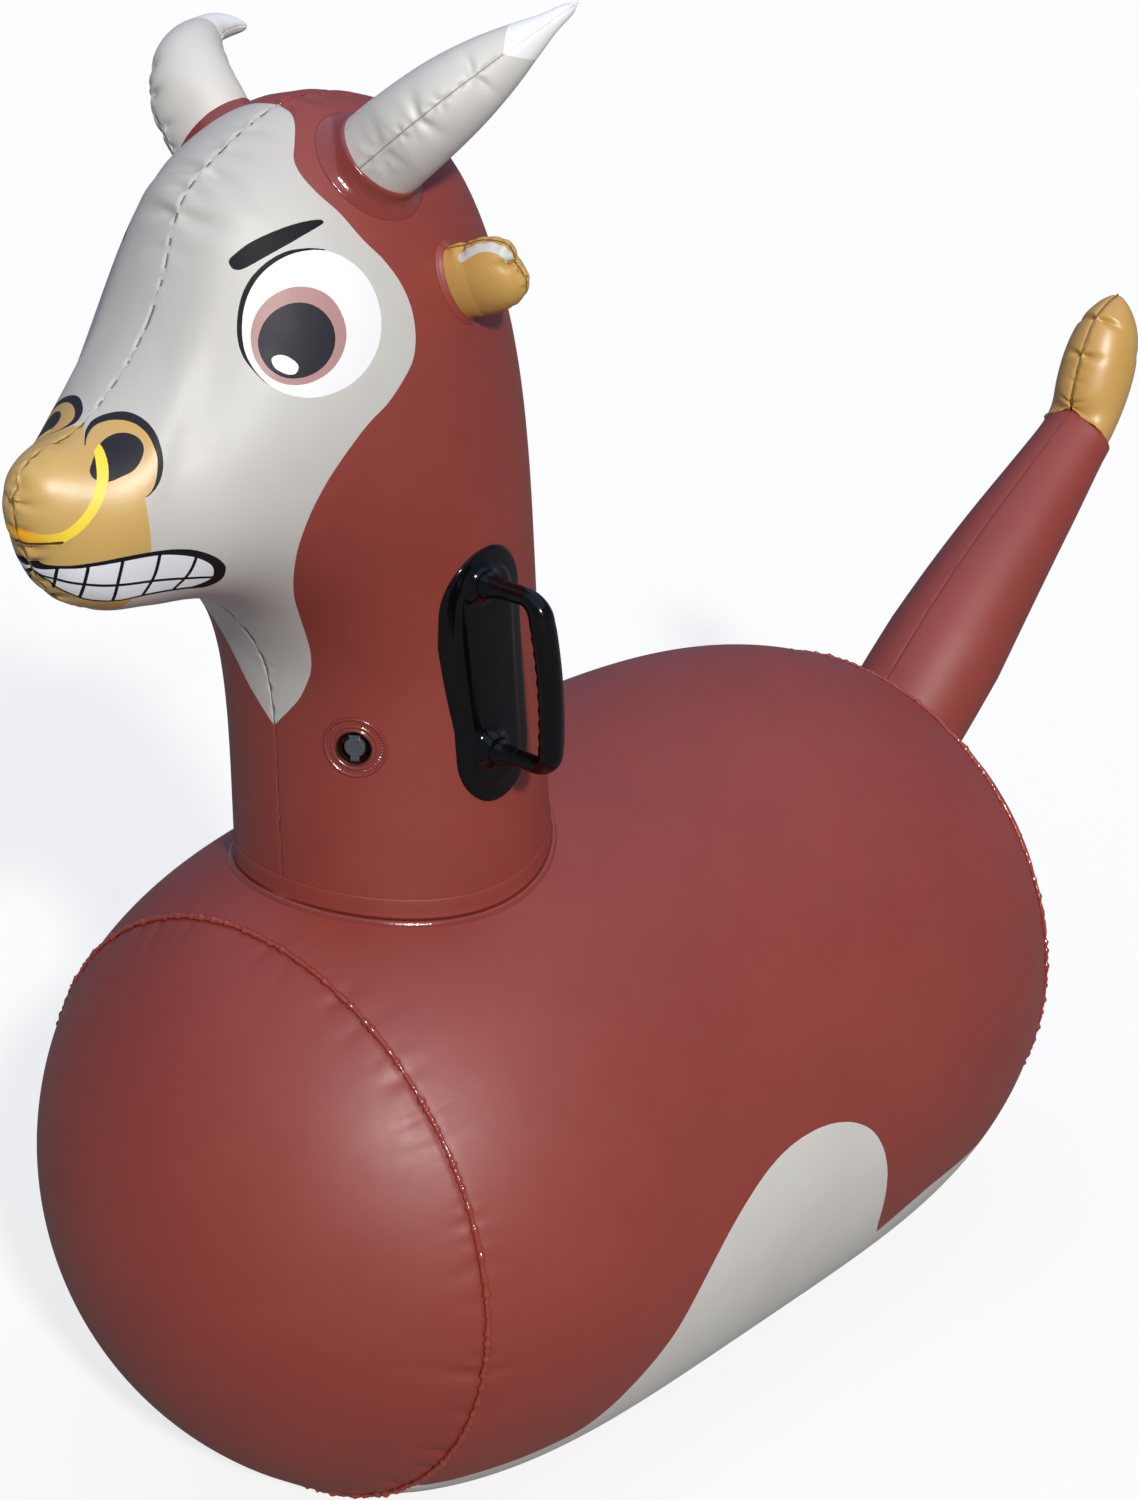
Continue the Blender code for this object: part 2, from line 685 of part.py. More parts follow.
handle_up = Vector((0.0, -math.sin(HANDLE_TILT), math.cos(HANDLE_TILT)))
handle_back = Vector((0.0, math.cos(HANDLE_TILT), math.sin(HANDLE_TILT)))


def neck_spot(place):
    # Where a line along X meets the left side of the neck
    return head_tree.ray_cast(Vector((SIGHT_REACH, place.y, place.z)), -left)[0]


def handle_base():
    # A rounded patch that follows the neck, with a shallow cup under each leg of the grip
    shape = bmesh.new()
    turns = PATCH_TURNS
    straight = PATCH_HALF_HEIGHT - PATCH_HALF_WIDTH
    corners = []
    for share in np.linspace(0.0, 1.0, PATCH_RINGS + 1):
        loop = []
        for turn in range(turns):
            angle = math.tau * turn / turns
            across = PATCH_HALF_WIDTH * math.cos(angle)
            rise = PATCH_HALF_WIDTH * math.sin(angle)
            if abs(rise) > SAME_POINT:
                rise += math.copysign(straight, rise)
            place = HANDLE_CENTRE + handle_back * across * share + handle_up * rise * share
            place = neck_spot(place) + left * PATCH_GAP
            loop.append(shape.verts.new(place))
        corners.append(loop)
    for inner, outer in zip(corners, corners[1:]):
        for turn in range(turns):
            following = (turn + 1) % turns
            shape.faces.new((inner[turn], outer[turn], outer[following], inner[following]))
    bmesh.ops.remove_doubles(shape, verts=shape.verts, dist=SAME_POINT)
    bmesh.ops.triangulate(shape, faces=shape.faces, quad_method="SHORT_EDGE")
    shape.normal_update()
    if sum(face.normal.x * face.calc_area() for face in shape.faces) < 0:
        bmesh.ops.reverse_faces(shape, faces=shape.faces)
    patch = mesh_from(shape, "left_handle_base", black)
    thicken(patch, PATCH_THICKNESS, 1.0)
    for leg in hinge_spots():
        foot = neck_spot(leg) + left * (PATCH_GAP + PATCH_THICKNESS * BOSS_SINK)
        top = leg - left * BOSS_BELOW_HINGE
        combine(patch, rod("handle_boss", foot, top, BOSS_RADIUS), "UNION")
        cup = ball("handle_cup", leg, KNUCKLE_RADIUS + CUP_CLEARANCE, axis)
        combine(patch, cup, "DIFFERENCE")
    return patch


def hinge_spots():
    # Centres of the two ball knuckles: the grip swings about the line through them
    reach = max(neck_spot(HANDLE_CENTRE + handle_up * side * LEG_SPACING / 2).x for side in (1, -1))
    spots = []
    for side in (1, -1):
        spot = HANDLE_CENTRE + handle_up * side * LEG_SPACING / 2
        spot.x = reach + PATCH_GAP + HINGE_HEIGHT
        spots.append(spot)
    return spots


def handle_grip():
    # A U of soft bar: out along one leg, round a bend, up the grip and back
    top, bottom = hinge_spots()
    middle = (top + bottom) / 2
    half = LEG_SPACING / 2
    bar = GRIP_REACH
    straight = half - LEG_BEND
    route = [(0.0, half, LEG_RADIUS), (bar - LEG_BEND, half, LEG_RADIUS)]
    for share in BEND_SHARES:
        angle = share * math.pi / 2
        swell = LEG_RADIUS + (GRIP_RADIUS - LEG_RADIUS) * share
        reach = bar - LEG_BEND + LEG_BEND * math.sin(angle)
        route.append((reach, straight + LEG_BEND * math.cos(angle), swell))
    waves = GRIP_WAVES * 4
    for number in range(waves + 1):
        rise = straight - 2.0 * straight * number / waves
        swell = GRIP_WAVE * math.cos(math.tau * number / 4)
        route.append((bar, rise, GRIP_RADIUS - GRIP_WAVE + swell))
    route.extend((reach, -rise, radius) for reach, rise, radius in route[4::-1])
    data = bpy.data.curves.new("handle_bar", "CURVE")
    data.dimensions = "3D"
    data.bevel_depth = 1.0
    data.bevel_resolution = 2
    data.use_fill_caps = True
    line = data.splines.new("POLY")
    line.points.add(len(route) - 1)
    for spot, (reach, rise, radius) in zip(line.points, route):
        spot.co = (*(left * reach + handle_up * rise), 1.0)
        spot.radius = radius
    hinge = empty("left_handle_hinge", middle, axis)
    bar_piece = add_piece("handle_bar", data, None, hinge)
    grip = frozen(bar_piece, "left_handle_grip", black)
    grip.data.shade_smooth()
    bpy.data.objects.remove(bar_piece, do_unlink=True)
    for leg in (top, bottom):
        combine(grip, ball("handle_knuckle", leg - middle, KNUCKLE_RADIUS, hinge), "UNION")
    return grip, middle


base_left = handle_base()
grip_left, grip_pivot = handle_grip()
mirrored(base_left, "right_handle_base", black)
right_hinge = empty("right_handle_hinge", grip_pivot * Vector((-1.0, 1.0, 1.0)), axis)
grip_right = mirrored(grip_left, "right_handle_grip", black, right_hinge)
grip_right.data.transform(Matrix.Rotation(-RIGHT_GRIP_LEAN, 4, handle_up))


# Valve

valve_out = Vector((math.sin(VALVE_ANGLE), -math.cos(VALVE_ANGLE), 0.0))
valve_side = Vector((0.0, 0.0, 1.0)).cross(valve_out)
valve_up = Vector((0.0, 0.0, 1.0))
valve_sight = Vector((0.0, NECK_CENTRE_Y, VALVE_HEIGHT)) + valve_out * SIGHT_REACH
valve_spot = head_tree.ray_cast(valve_sight, -valve_out)[0]
valve_hole_radius = RECESS_RADIUS + CUP_WALL + VALVE_CLEARANCE
valve_turn = Matrix((valve_side, valve_up, valve_out)).transposed().to_4x4()
valve = empty("valve_axis", valve_spot, axis)
valve.rotation_euler = valve_turn.to_euler()


def turned(name, profile, finish, parent):
    # A closed (radius, height) outline spun round the valve's own axis
    mesh = bpy.data.meshes.new(name)
    corners = [(radius, 0.0, height) for radius, height in profile]
    edges = [(number, (number + 1) % len(corners)) for number in range(len(corners))]
    if profile[0][0] == 0.0:
        edges.pop()
    mesh.from_pydata(corners, edges, [])
    made = add_piece(name, mesh, finish, parent)
    spin = made.modifiers.new("spin", "SCREW")
    spin.steps = ROUND_SEGMENTS
    spin.render_steps = ROUND_SEGMENTS
    spin.use_merge_vertices = True
    spin.merge_threshold = 0.00001
    return made


def valve_flange():
    # A welded ring that follows the neck round the valve's hole
    shape = bmesh.new()
    loops = []
    for radius in np.linspace(valve_hole_radius, FLANGE_RADIUS, FLANGE_RINGS):
        loop = []
        for turn in range(ROUND_SEGMENTS):
            angle = math.tau * turn / ROUND_SEGMENTS
            spoke = valve_side * math.cos(angle) + valve_up * math.sin(angle)
            hit = head_tree.ray_cast(valve_sight + spoke * radius, -valve_out)[0]
            loop.append(shape.verts.new(hit + valve_out * PATCH_GAP))
        loops.append(loop)
    for inner, outer in zip(loops, loops[1:]):
        for turn in range(ROUND_SEGMENTS):
            following = (turn + 1) % ROUND_SEGMENTS
            shape.faces.new((inner[turn], outer[turn], outer[following], inner[following]))
    bmesh.ops.triangulate(shape, faces=shape.faces, quad_method="SHORT_EDGE")
    shape.normal_update()
    if sum(face.normal.dot(valve_out) for face in shape.faces) < 0:
        bmesh.ops.reverse_faces(shape, faces=shape.faces)
    made = mesh_from(shape, "valve_flange", brown)
    thicken(made, FLANGE_THICKNESS, 1.0)


valve_flange()
valve_reach = valve_out * AIR_HOLE_REACH
combine(head_left, rod("valve_hole", valve_spot - valve_reach, valve_spot + valve_reach,
                       valve_hole_radius), "DIFFERENCE")

turned("valve_cup", [
    (RECESS_RADIUS, CUP_LIP),
    (RECESS_RADIUS + CUP_WALL, CUP_LIP),
    (RECESS_RADIUS + CUP_WALL, -RECESS_DEPTH - CUP_WALL),
    (STEM_RADIUS + VALVE_CLEARANCE, -RECESS_DEPTH - CUP_WALL),
    (STEM_RADIUS + VALVE_CLEARANCE, -RECESS_DEPTH),
    (RECESS_RADIUS, -RECESS_DEPTH),
], brown, valve)

stem_axis = empty("valve_stem_axis", (0.0, 0.0, 0.0), valve)
stem_bottom = STEM_TOP - STEM_LENGTH
turned("valve_stem", [
    (STEM_BORE, STEM_TOP),
    (STEM_RADIUS, STEM_TOP),
    (STEM_RADIUS, stem_bottom + STEM_STOP_HEIGHT),
    (STEM_STOP_RADIUS, stem_bottom + STEM_STOP_HEIGHT),
    (STEM_STOP_RADIUS, stem_bottom),
    (STEM_BORE, stem_bottom),
], clear, stem_axis)

strap_height = STEM_TOP + PLUG_SEAT + PLUG_THICKNESS - STRAP_DEPTH
plug_hinge = empty("valve_plug_hinge", (0.0, STRAP_HINGE, strap_height), stem_axis)


def valve_plug():
    # A cap with a tapered shank, a strap up to its hinge and a pull tab below
    low = STEM_TOP + PLUG_SEAT
    rim = STEM_RADIUS - VALVE_CLEARANCE
    high = low + PLUG_THICKNESS
    plug = turned("plug_body", [
        (0.0, high),
        (rim, high),
        (rim, low),
        (PLUG_SHANK_TOP, low),
        (PLUG_SHANK_TOP - PLUG_SHANK_DRAFT, low - PLUG_SHANK_LENGTH / 2),
        (PLUG_SHANK_TIP, low - PLUG_SHANK_LENGTH),
        (0.0, low - PLUG_SHANK_LENGTH),
    ], None, stem_axis)
    body = frozen(plug, "valve_plug", clear)
    bpy.data.objects.remove(plug, do_unlink=True)
    shape = bmesh.new()
    bmesh.ops.create_cube(shape, size=1.0)
    span = STRAP_HINGE + TAB_LENGTH
    bmesh.ops.scale(shape, vec=(2.0 * TAB_HALF_WIDTH, span, STRAP_THICKNESS), verts=shape.verts)
    middle = (0.0, (STRAP_HINGE - TAB_LENGTH) / 2, strap_height)
    bmesh.ops.translate(shape, vec=middle, verts=shape.verts)
    strap = mesh_from(shape, "plug_strap", None, stem_axis, smooth=False)
    combine(body, strap, "UNION")
    body.data.transform(Matrix.Translation(-plug_hinge.location))
    strap.data.transform(Matrix.Translation(-plug_hinge.location))
    body.parent = plug_hinge
    strap.parent = plug_hinge
    body.location = (0.0, 0.0, 0.0)


valve_plug()

flap_hinge = empty("valve_flap_hinge", (0.0, FLAP_RADIUS, stem_bottom - VALVE_CLEARANCE), stem_axis)
flap_shape = bmesh.new()
bmesh.ops.create_cone(flap_shape, cap_ends=True, segments=ROUND_SEGMENTS, radius1=FLAP_RADIUS,
                      radius2=FLAP_RADIUS, depth=FLAP_THICKNESS,
                      matrix=Matrix.Translation((0.0, -FLAP_RADIUS, -FLAP_THICKNESS / 2)))
mesh_from(flap_shape, "valve_flap", clear, flap_hinge, smooth=False)
bpy.context.view_layer.update()
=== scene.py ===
import math

import bpy
import numpy as np
from mathutils import Matrix, Vector
from mathutils.bvhtree import BVHTree
from mathutils.geometry import delaunay_2d_cdt


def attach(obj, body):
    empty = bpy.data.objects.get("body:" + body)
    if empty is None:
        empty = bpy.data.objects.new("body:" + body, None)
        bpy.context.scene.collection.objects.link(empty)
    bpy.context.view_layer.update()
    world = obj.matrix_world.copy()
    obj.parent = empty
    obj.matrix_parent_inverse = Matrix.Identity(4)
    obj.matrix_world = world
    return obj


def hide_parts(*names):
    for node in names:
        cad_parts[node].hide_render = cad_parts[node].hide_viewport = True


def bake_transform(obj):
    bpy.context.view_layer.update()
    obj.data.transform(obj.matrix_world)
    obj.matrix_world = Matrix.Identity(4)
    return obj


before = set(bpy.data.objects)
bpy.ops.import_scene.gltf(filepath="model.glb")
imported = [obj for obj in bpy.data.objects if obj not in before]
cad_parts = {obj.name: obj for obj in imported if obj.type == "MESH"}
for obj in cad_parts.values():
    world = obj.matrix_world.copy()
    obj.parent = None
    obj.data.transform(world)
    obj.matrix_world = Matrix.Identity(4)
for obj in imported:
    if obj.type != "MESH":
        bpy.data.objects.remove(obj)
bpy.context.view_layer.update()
axisHeight = 0.2345  # the barrel's axis above the floor
filmWall = 0.0008
chance = np.random.default_rng(11)  # the same wrinkles on every run


# camera at the photo's place, and the studio
studio = dict(
    cameraPlace=(1.35301, -1.55467, 1.35451), azimuth=41.063, elevation=23.428, roll=0.287, lens=78.29,
    floorSize=60.0, floorColour="#8C8B8A", floorGlow=0.75, glossGlow=0.02, keyWay=(0.72, -0.45, 0.53),
    keyPower=2.85, keyAngle=4.0, keyColour="#FFFCF8", skyWay=(0.0, 0.0, 1.0), skyPower=1.1, skyAngle=100.0,
    skyColour="#D2DEFA", worldColour="#E6EAF4", worldStrength=0.14, mirrorColour="#B4CCFF",
    mirrorStrength=0.34, aim=(0.0, -0.05, 0.45), lampReach=4.0)


def hexColour(text):
    parts = [int(text[i:i + 2], 16) / 255 for i in (1, 3, 5)]
    return (*[c / 12.92 if c <= 0.04045 else ((c + 0.055) / 1.055) ** 2.4 for c in parts], 1.0)


def addNode(tree, kind, settings=None, links=None):
    node = tree.nodes.new(kind)
    for name, value in (settings or {}).items():
        if isinstance(name, int) or name in node.inputs:
            node.inputs[name].default_value = value
        else:
            setattr(node, name, value)
    for name, (source, output) in (links or {}).items():
        tree.links.new(source.outputs[output], node.inputs[name])
    return node


def emptyMaterial(name):
    made = bpy.data.materials.new(name)
    made.use_nodes = True
    made.node_tree.nodes.clear()
    return made, made.node_tree


def deselectAll():
    bpy.ops.object.select_all(action="DESELECT")


def workOn(piece):
    deselectAll()
    piece.select_set(True)
    bpy.context.view_layer.objects.active = piece


def addObject(name, data):
    piece = bpy.data.objects.new(name, data)
    bpy.context.scene.collection.objects.link(piece)
    workOn(piece)
    return piece


def joinPieces(first, *others):
    workOn(first)
    for piece in others:
        piece.select_set(True)
    bpy.ops.object.join()


def cleanMesh():
    # in edit mode: merges close points and turns the normals out, then leaves edit mode
    bpy.ops.mesh.select_all(action="SELECT")
    bpy.ops.mesh.remove_doubles(threshold=0.00001)
    bpy.ops.mesh.normals_make_consistent(inside=False)
    bpy.ops.object.mode_set(mode="OBJECT")


def clamp(value):
    return min(max(value, 0.0), 1.0)


deselectAll()
bpy.ops.object.camera_add()
camera = bpy.context.object
camera.name = "photoCamera"
azimuth, elevation, roll = (math.radians(studio[k]) for k in ("azimuth", "elevation", "roll"))
backWay = Vector((math.sin(azimuth) * math.cos(elevation), -math.cos(azimuth) * math.cos(elevation),
                  math.sin(elevation)))
rightWay = Vector((math.cos(azimuth), math.sin(azimuth), 0.0))
upWay = backWay.cross(rightWay)
axes = (rightWay * math.cos(roll) + upWay * math.sin(roll),
        upWay * math.cos(roll) - rightWay * math.sin(roll), backWay)
camera.matrix_world = Matrix.Translation(studio["cameraPlace"]) @ Matrix(axes).transposed().to_4x4()
camera.data.sensor_width = 36.0
camera.data.lens = studio["lens"]
camera.data.clip_end = 200.0
bpy.context.scene.camera = camera

deselectAll()
bpy.ops.mesh.primitive_plane_add(size=studio["floorSize"], location=(0.0, 0.0, -0.0005))
floor = bpy.context.object
floor.name = "studioFloor"
floorPaint, tree = emptyMaterial("matt painted studio floor")  # pale and even, keeps the shadow
floorShader = addNode(tree, "ShaderNodeBsdfPrincipled",
                      {"Base Color": hexColour(studio["floorColour"]), "Roughness": 0.9})
floorRays = addNode(tree, "ShaderNodeLightPath")
# lifts the floor to the photo's white; the satin film reflects less of it, as the photo's ground was dark
gloss = addNode(tree, "ShaderNodeMath", {"operation": "MULTIPLY", 1: studio["glossGlow"]},
                {0: (floorRays, "Is Glossy Ray")})
seen = addNode(tree, "ShaderNodeMath", {"operation": "MAXIMUM"},
               {0: (floorRays, "Is Camera Ray"), 1: (floorRays, "Is Transmission Ray")})
seen = addNode(tree, "ShaderNodeMath", {"operation": "MAXIMUM"}, {0: (seen, "Value"), 1: (gloss, "Value")})
glow = addNode(tree, "ShaderNodeMath", {"operation": "MULTIPLY", 1: studio["floorGlow"]},
               {0: (seen, "Value")})
floorGlow = addNode(tree, "ShaderNodeEmission", {}, {"Strength": (glow, "Value")})
floorSum = addNode(tree, "ShaderNodeAddShader", {}, {0: (floorShader, "BSDF"), 1: (floorGlow, "Emission")})
addNode(tree, "ShaderNodeOutputMaterial", {}, {"Surface": (floorSum, "Shader")})
floor.data.materials.append(floorPaint)

for name in ("key", "sky"):
    way = Vector(studio[name + "Way"])
    deselectAll()
    bpy.ops.object.light_add(type="SUN", location=Vector(studio["aim"]) + way * studio["lampReach"])
    lamp = bpy.context.object
    lamp.name = name + "Lamp"
    lamp.rotation_euler = way.to_track_quat("Z", "Y").to_euler()
    lamp.data.energy = studio[name + "Power"]
    lamp.data.angle = math.radians(studio[name + "Angle"])
    lamp.data.color = hexColour(studio[name + "Colour"])[:3]

world = bpy.data.worlds.new("studioAir")
bpy.context.scene.world = world
world.use_nodes = True
tree = world.node_tree
tree.nodes.clear()
rays = addNode(tree, "ShaderNodeLightPath")
airLight = addNode(tree, "ShaderNodeBackground", {"Color": hexColour(studio["worldColour"]),
                                                  "Strength": studio["worldStrength"]})
airWhite = addNode(tree, "ShaderNodeBackground", {"Color": (1.0, 1.0, 1.0, 1.0), "Strength": 1.0})
# the blue sky that the gloss mirrors
airSky = addNode(tree, "ShaderNodeBackground", {"Color": hexColour(studio["mirrorColour"]),
                                                "Strength": studio["mirrorStrength"]})
airMix = addNode(tree, "ShaderNodeMixShader", {},
                 {"Fac": (rays, "Is Glossy Ray"), 1: (airLight, "Background"), 2: (airSky, "Background")})
airMix = addNode(tree, "ShaderNodeMixShader", {},
                 {"Fac": (rays, "Is Camera Ray"), 1: (airMix, "Shader"), 2: (airWhite, "Background")})
addNode(tree, "ShaderNodeOutputWorld", {}, {"Surface": (airMix, "Shader")})
bpy.context.scene.view_settings.view_transform = "Standard"
print("studio: camera, floor and lamps")


# finishes
def filmMaterial(name, colour, shade, roughness=0.53, sheen=0.75, welded=False, seamShade=None):
    # calendered PVC film: even colour with faint clouds, a satin sheen that wanders a little,
    # a fine orange peel and soft ripples where the film is not quite taut, both coarser on a weld
    grain, ripple = (0.00010, 0.0006) if welded else (0.00004, 0.0004)
    made, tree = emptyMaterial(name)
    place = addNode(tree, "ShaderNodeTexCoord")
    cloud = addNode(tree, "ShaderNodeTexNoise", {"Scale": 1000 / 130, "Detail": 4.0, "Roughness": 0.6},
                    {"Vector": (place, "Object")})  # clouds of 130 mm
    tint = addNode(tree, "ShaderNodeValToRGB", {}, {"Fac": (cloud, "Fac")})
    tint.color_ramp.elements[0].position, tint.color_ramp.elements[1].position = 0.32, 0.68
    tint.color_ramp.elements[0].color = hexColour(shade)
    tint.color_ramp.elements[1].color = hexColour(colour)
    rub = addNode(tree, "ShaderNodeTexNoise", {"Scale": 1000 / 38, "Detail": 5.0, "Roughness": 0.65},
                  {"Vector": (place, "Object")})  # rubbed patches of 38 mm
    gloss = addNode(tree, "ShaderNodeMapRange", {"From Min": 0.3, "From Max": 0.7,
                                                 "To Min": roughness - 0.05, "To Max": roughness + 0.06},
                    {"Value": (rub, "Fac")})
    wave = addNode(tree, "ShaderNodeTexNoise", {"Scale": 1000 / 46, "Detail": 2.0},
                   {"Vector": (place, "Object")})  # ripples of 46 mm
    peel = addNode(tree, "ShaderNodeTexNoise", {"Scale": 1000 / 1.6, "Detail": 2.0},
                   {"Vector": (place, "Object")})  # orange peel, 0.4 mm on the film, drawn at 1.6 mm to show
    soft = addNode(tree, "ShaderNodeBump", {"Strength": 1.0, "Distance": ripple}, {"Height": (wave, "Fac")})
    fine = addNode(tree, "ShaderNodeBump", {"Strength": 1.0, "Distance": grain},
                   {"Height": (peel, "Fac"), "Normal": (soft, "Normal")})
    shader = addNode(tree, "ShaderNodeBsdfPrincipled", {"IOR": 1.53, "Specular IOR Level": sheen},
                     {"Base Color": (tint, "Color"), "Roughness": (gloss, "Result"),
                      "Normal": (fine, "Normal")})
    if seamShade:  # painted shade: the print turns to a darker colour towards the middle seam
        seamShadeColour, seamFrom, seamTo = seamShade
        spot = addNode(tree, "ShaderNodeSeparateXYZ", {}, {"Vector": (place, "Object")})
        aside = addNode(tree, "ShaderNodeMath", {"operation": "ABSOLUTE"}, {0: (spot, "X")})
        share = addNode(tree, "ShaderNodeMapRange", {"From Min": seamFrom, "From Max": seamTo},
                        {"Value": (aside, "Value")})
        # inputs 6 and 7 and output 2 are the mix node's colours
        mixed = addNode(tree, "ShaderNodeMix", {"data_type": "RGBA", 6: hexColour(seamShadeColour)},
                        {"Factor": (share, "Result"), 7: (tint, "Color")})
        tree.links.new(mixed.outputs[2], shader.inputs["Base Color"])
    addNode(tree, "ShaderNodeOutputMaterial", {}, {"Surface": (shader, "BSDF")})
    return made


# film and print: an even colour under one satin sheen, the ochre a little glossier
brownFilm = filmMaterial("brown calendered PVC film", "#8E3528", "#863023")
greyFilm = filmMaterial("light grey printed PVC film", "#CAC8C2", "#C2BFB9")
# the horns' own pale film; the belly's grey print takes it too, lightened as painted light
paleFilmAndLitBelly = filmMaterial("pale grey calendered PVC film", "#D8D6D0", "#D0CDC7")
ochreFilm = filmMaterial("ochre calendered PVC film", "#CBA055", "#BF9445", 0.40)
muzzleInk = filmMaterial("ochre screen print on PVC", "#D2AD64", "#C9A156", 0.40)
whiteInk = filmMaterial("white screen print on PVC", "#F6F7F7", "#ECEEEF")
bandInk = filmMaterial("thin white screen print on ochre PVC", "#CFD1CB", "#C6C8C2")
toothInk = filmMaterial("tooth screen print on PVC", "#F4F6FA", "#E8ECF3")
# the ring's yellow is print; its orange towards the middle seam is painted shade
yellowInkAndSeamShade = filmMaterial("yellow screen print on PVC with painted orange seam shade", "#FFE23A", "#FAD42C", seamShade=("#FFB008", 0.004, 0.024))
# dark and thick inks lie duller than the film, so they keep their depth in the light
blackInk = filmMaterial("black screen print on PVC", "#1F1B20", "#19151A", 0.5, 0.10)
pupilInk = filmMaterial("pupil screen print on PVC", "#2A2931", "#23222A", 0.5, 0.2)
irisInk = filmMaterial("iris screen print on PVC", "#B68C88", "#AB7F7A", 0.5, 0.5)
# painted shade: a dark brown wedge under the nose ring, where the crease by the seam lies in shade
creaseShadeFinish = filmMaterial("painted dark brown crease shade on PVC", "#5A2E12", "#4C260F", 0.5, 0.5)
# welds were melted smooth: thin wet lights on the brown; the darker lines on the pale prints and films are
# painted seam shade
weldFilm = filmMaterial("heat welded brown PVC flange", "#8A372A", "#7C2F24", 0.18, 0.8, True)
beadFilm = filmMaterial("melted brown PVC seam bead", "#9C3B2B", "#8C3022", 0.16, 0.9, True)
hornSeamShade = filmMaterial("light grey PVC seam with painted seam shade", "#B0ACA5", "#9C9790", 0.40, 0.5, True)
greySeamShade = filmMaterial("grey PVC seam with painted dark seam shade", "#6B665F", "#57524C", 0.40, 0.5, True)
ochreSeamShade = filmMaterial("ochre PVC seam with painted dark seam shade", "#7E5C2B", "#66491F", 0.40, 0.5, True)


def mouldedMaterial(name, colour, roughness):
    # injection moulded soft PVC: deep black with a wet gloss, faint flow marks and dulled patches
    made, tree = emptyMaterial(name)
    place = addNode(tree, "ShaderNodeTexCoord")
    flow = addNode(tree, "ShaderNodeTexNoise", {"Scale": 1000 / 22, "Detail": 4.0},
                   {"Vector": (place, "Object")})  # flow marks of 22 mm
    gloss = addNode(tree, "ShaderNodeMapRange", {"From Min": 0.35, "From Max": 0.75,
                                                 "To Min": roughness, "To Max": roughness + 0.12},
                    {"Value": (flow, "Fac")})
    skin = addNode(tree, "ShaderNodeBump", {"Strength": 1.0, "Distance": 0.0002}, {"Height": (flow, "Fac")})
    shader = addNode(tree, "ShaderNodeBsdfPrincipled",
                     {"Base Color": hexColour(colour), "IOR": 1.53, "Specular IOR Level": 0.25},
                     {"Roughness": (gloss, "Result"), "Normal": (skin, "Normal")})
    addNode(tree, "ShaderNodeOutputMaterial", {}, {"Surface": (shader, "BSDF")})
    return made


blackMoulded = mouldedMaterial("black injection moulded PVC", "#08080A", 0.07)


def clearMaterial(name):
    # clear soft PVC: grey and slightly milky, bright at its rims
    made, tree = emptyMaterial(name)
    place = addNode(tree, "ShaderNodeTexCoord")
    haze = addNode(tree, "ShaderNodeTexNoise", {"Scale": 1000 / 5, "Detail": 3.0},
                   {"Vector": (place, "Object")})  # haze of 5 mm
    gloss = addNode(tree, "ShaderNodeMapRange", {"To Min": 0.04, "To Max": 0.14}, {"Value": (haze, "Fac")})
    shader = addNode(tree, "ShaderNodeBsdfPrincipled",
                     {"Base Color": hexColour("#7A8086"), "IOR": 1.53, "Transmission Weight": 0.70},
                     {"Roughness": (gloss, "Result")})
    addNode(tree, "ShaderNodeOutputMaterial", {}, {"Surface": (shader, "BSDF")})
    return made


# dip moulded: the cup painted dark as the hollow's shade, the stem and stopper grey glassy lights
cupShade = filmMaterial("brown dip moulded PVC cup painted dark as shade", "#31110C", "#270D09", 0.40, 0.4)
clearSoft = clearMaterial("clear dip moulded PVC")
print("finishes: film, inks, welds and moulded PVC")


# nets: every skin is a net of points, rows by columns, that is wrinkled and then cut into a sheet
def cubicShares(f):
    return np.stack([-0.5 * f + f ** 2 - 0.5 * f ** 3, 1 - 2.5 * f ** 2 + 1.5 * f ** 3,
                     0.5 * f + 2 * f ** 2 - 1.5 * f ** 3, 0.5 * f ** 3 - 0.5 * f ** 2], -1)


def readNet(net, row, column):
    # smooth value of a net at fractional rows and columns
    pad = np.pad(net, 1)
    pad[0], pad[-1] = 2 * pad[1] - pad[2], 2 * pad[-2] - pad[-3]
    pad[:, 0], pad[:, -1] = 2 * pad[:, 1] - pad[:, 2], 2 * pad[:, -2] - pad[:, -3]
    i = np.clip(np.floor(row + 1e-9).astype(int), 0, net.shape[0] - 2)
    j = np.clip(np.floor(column + 1e-9).astype(int), 0, net.shape[1] - 2)
    down, over = cubicShares(row - i), cubicShares(column - j)
    return sum(down[:, p] * over[:, q] * pad[i + p, j + q] for p in range(4) for q in range(4))


def smoothRows(table, t):
    table = np.asarray(table, float)
    t = np.clip(np.asarray(t, float), 0, len(table) - 1)
    i = np.minimum(t.astype(int), len(table) - 2)
    pad = np.vstack([2 * table[0] - table[1], table, 2 * table[-1] - table[-2]])
    shares = cubicShares(t - i)
    return sum(shares[:, k, None] * pad[i + k] for k in range(4))


def smoothLoop(points, parts=6):
    # closed outline through its points; a point given twice is a sharp corner
    points = np.asarray(points, float)
    f = np.linspace(0, 1, parts, endpoint=False)
    shares = cubicShares(f)
    out = []
    for i in range(len(points)):
        p = [points[(i + k) % len(points)] for k in (-1, 0, 1, 2)]
        if not np.allclose(p[1], p[2]):
            out.append(shares @ np.array(p))
    return np.concatenate(out)


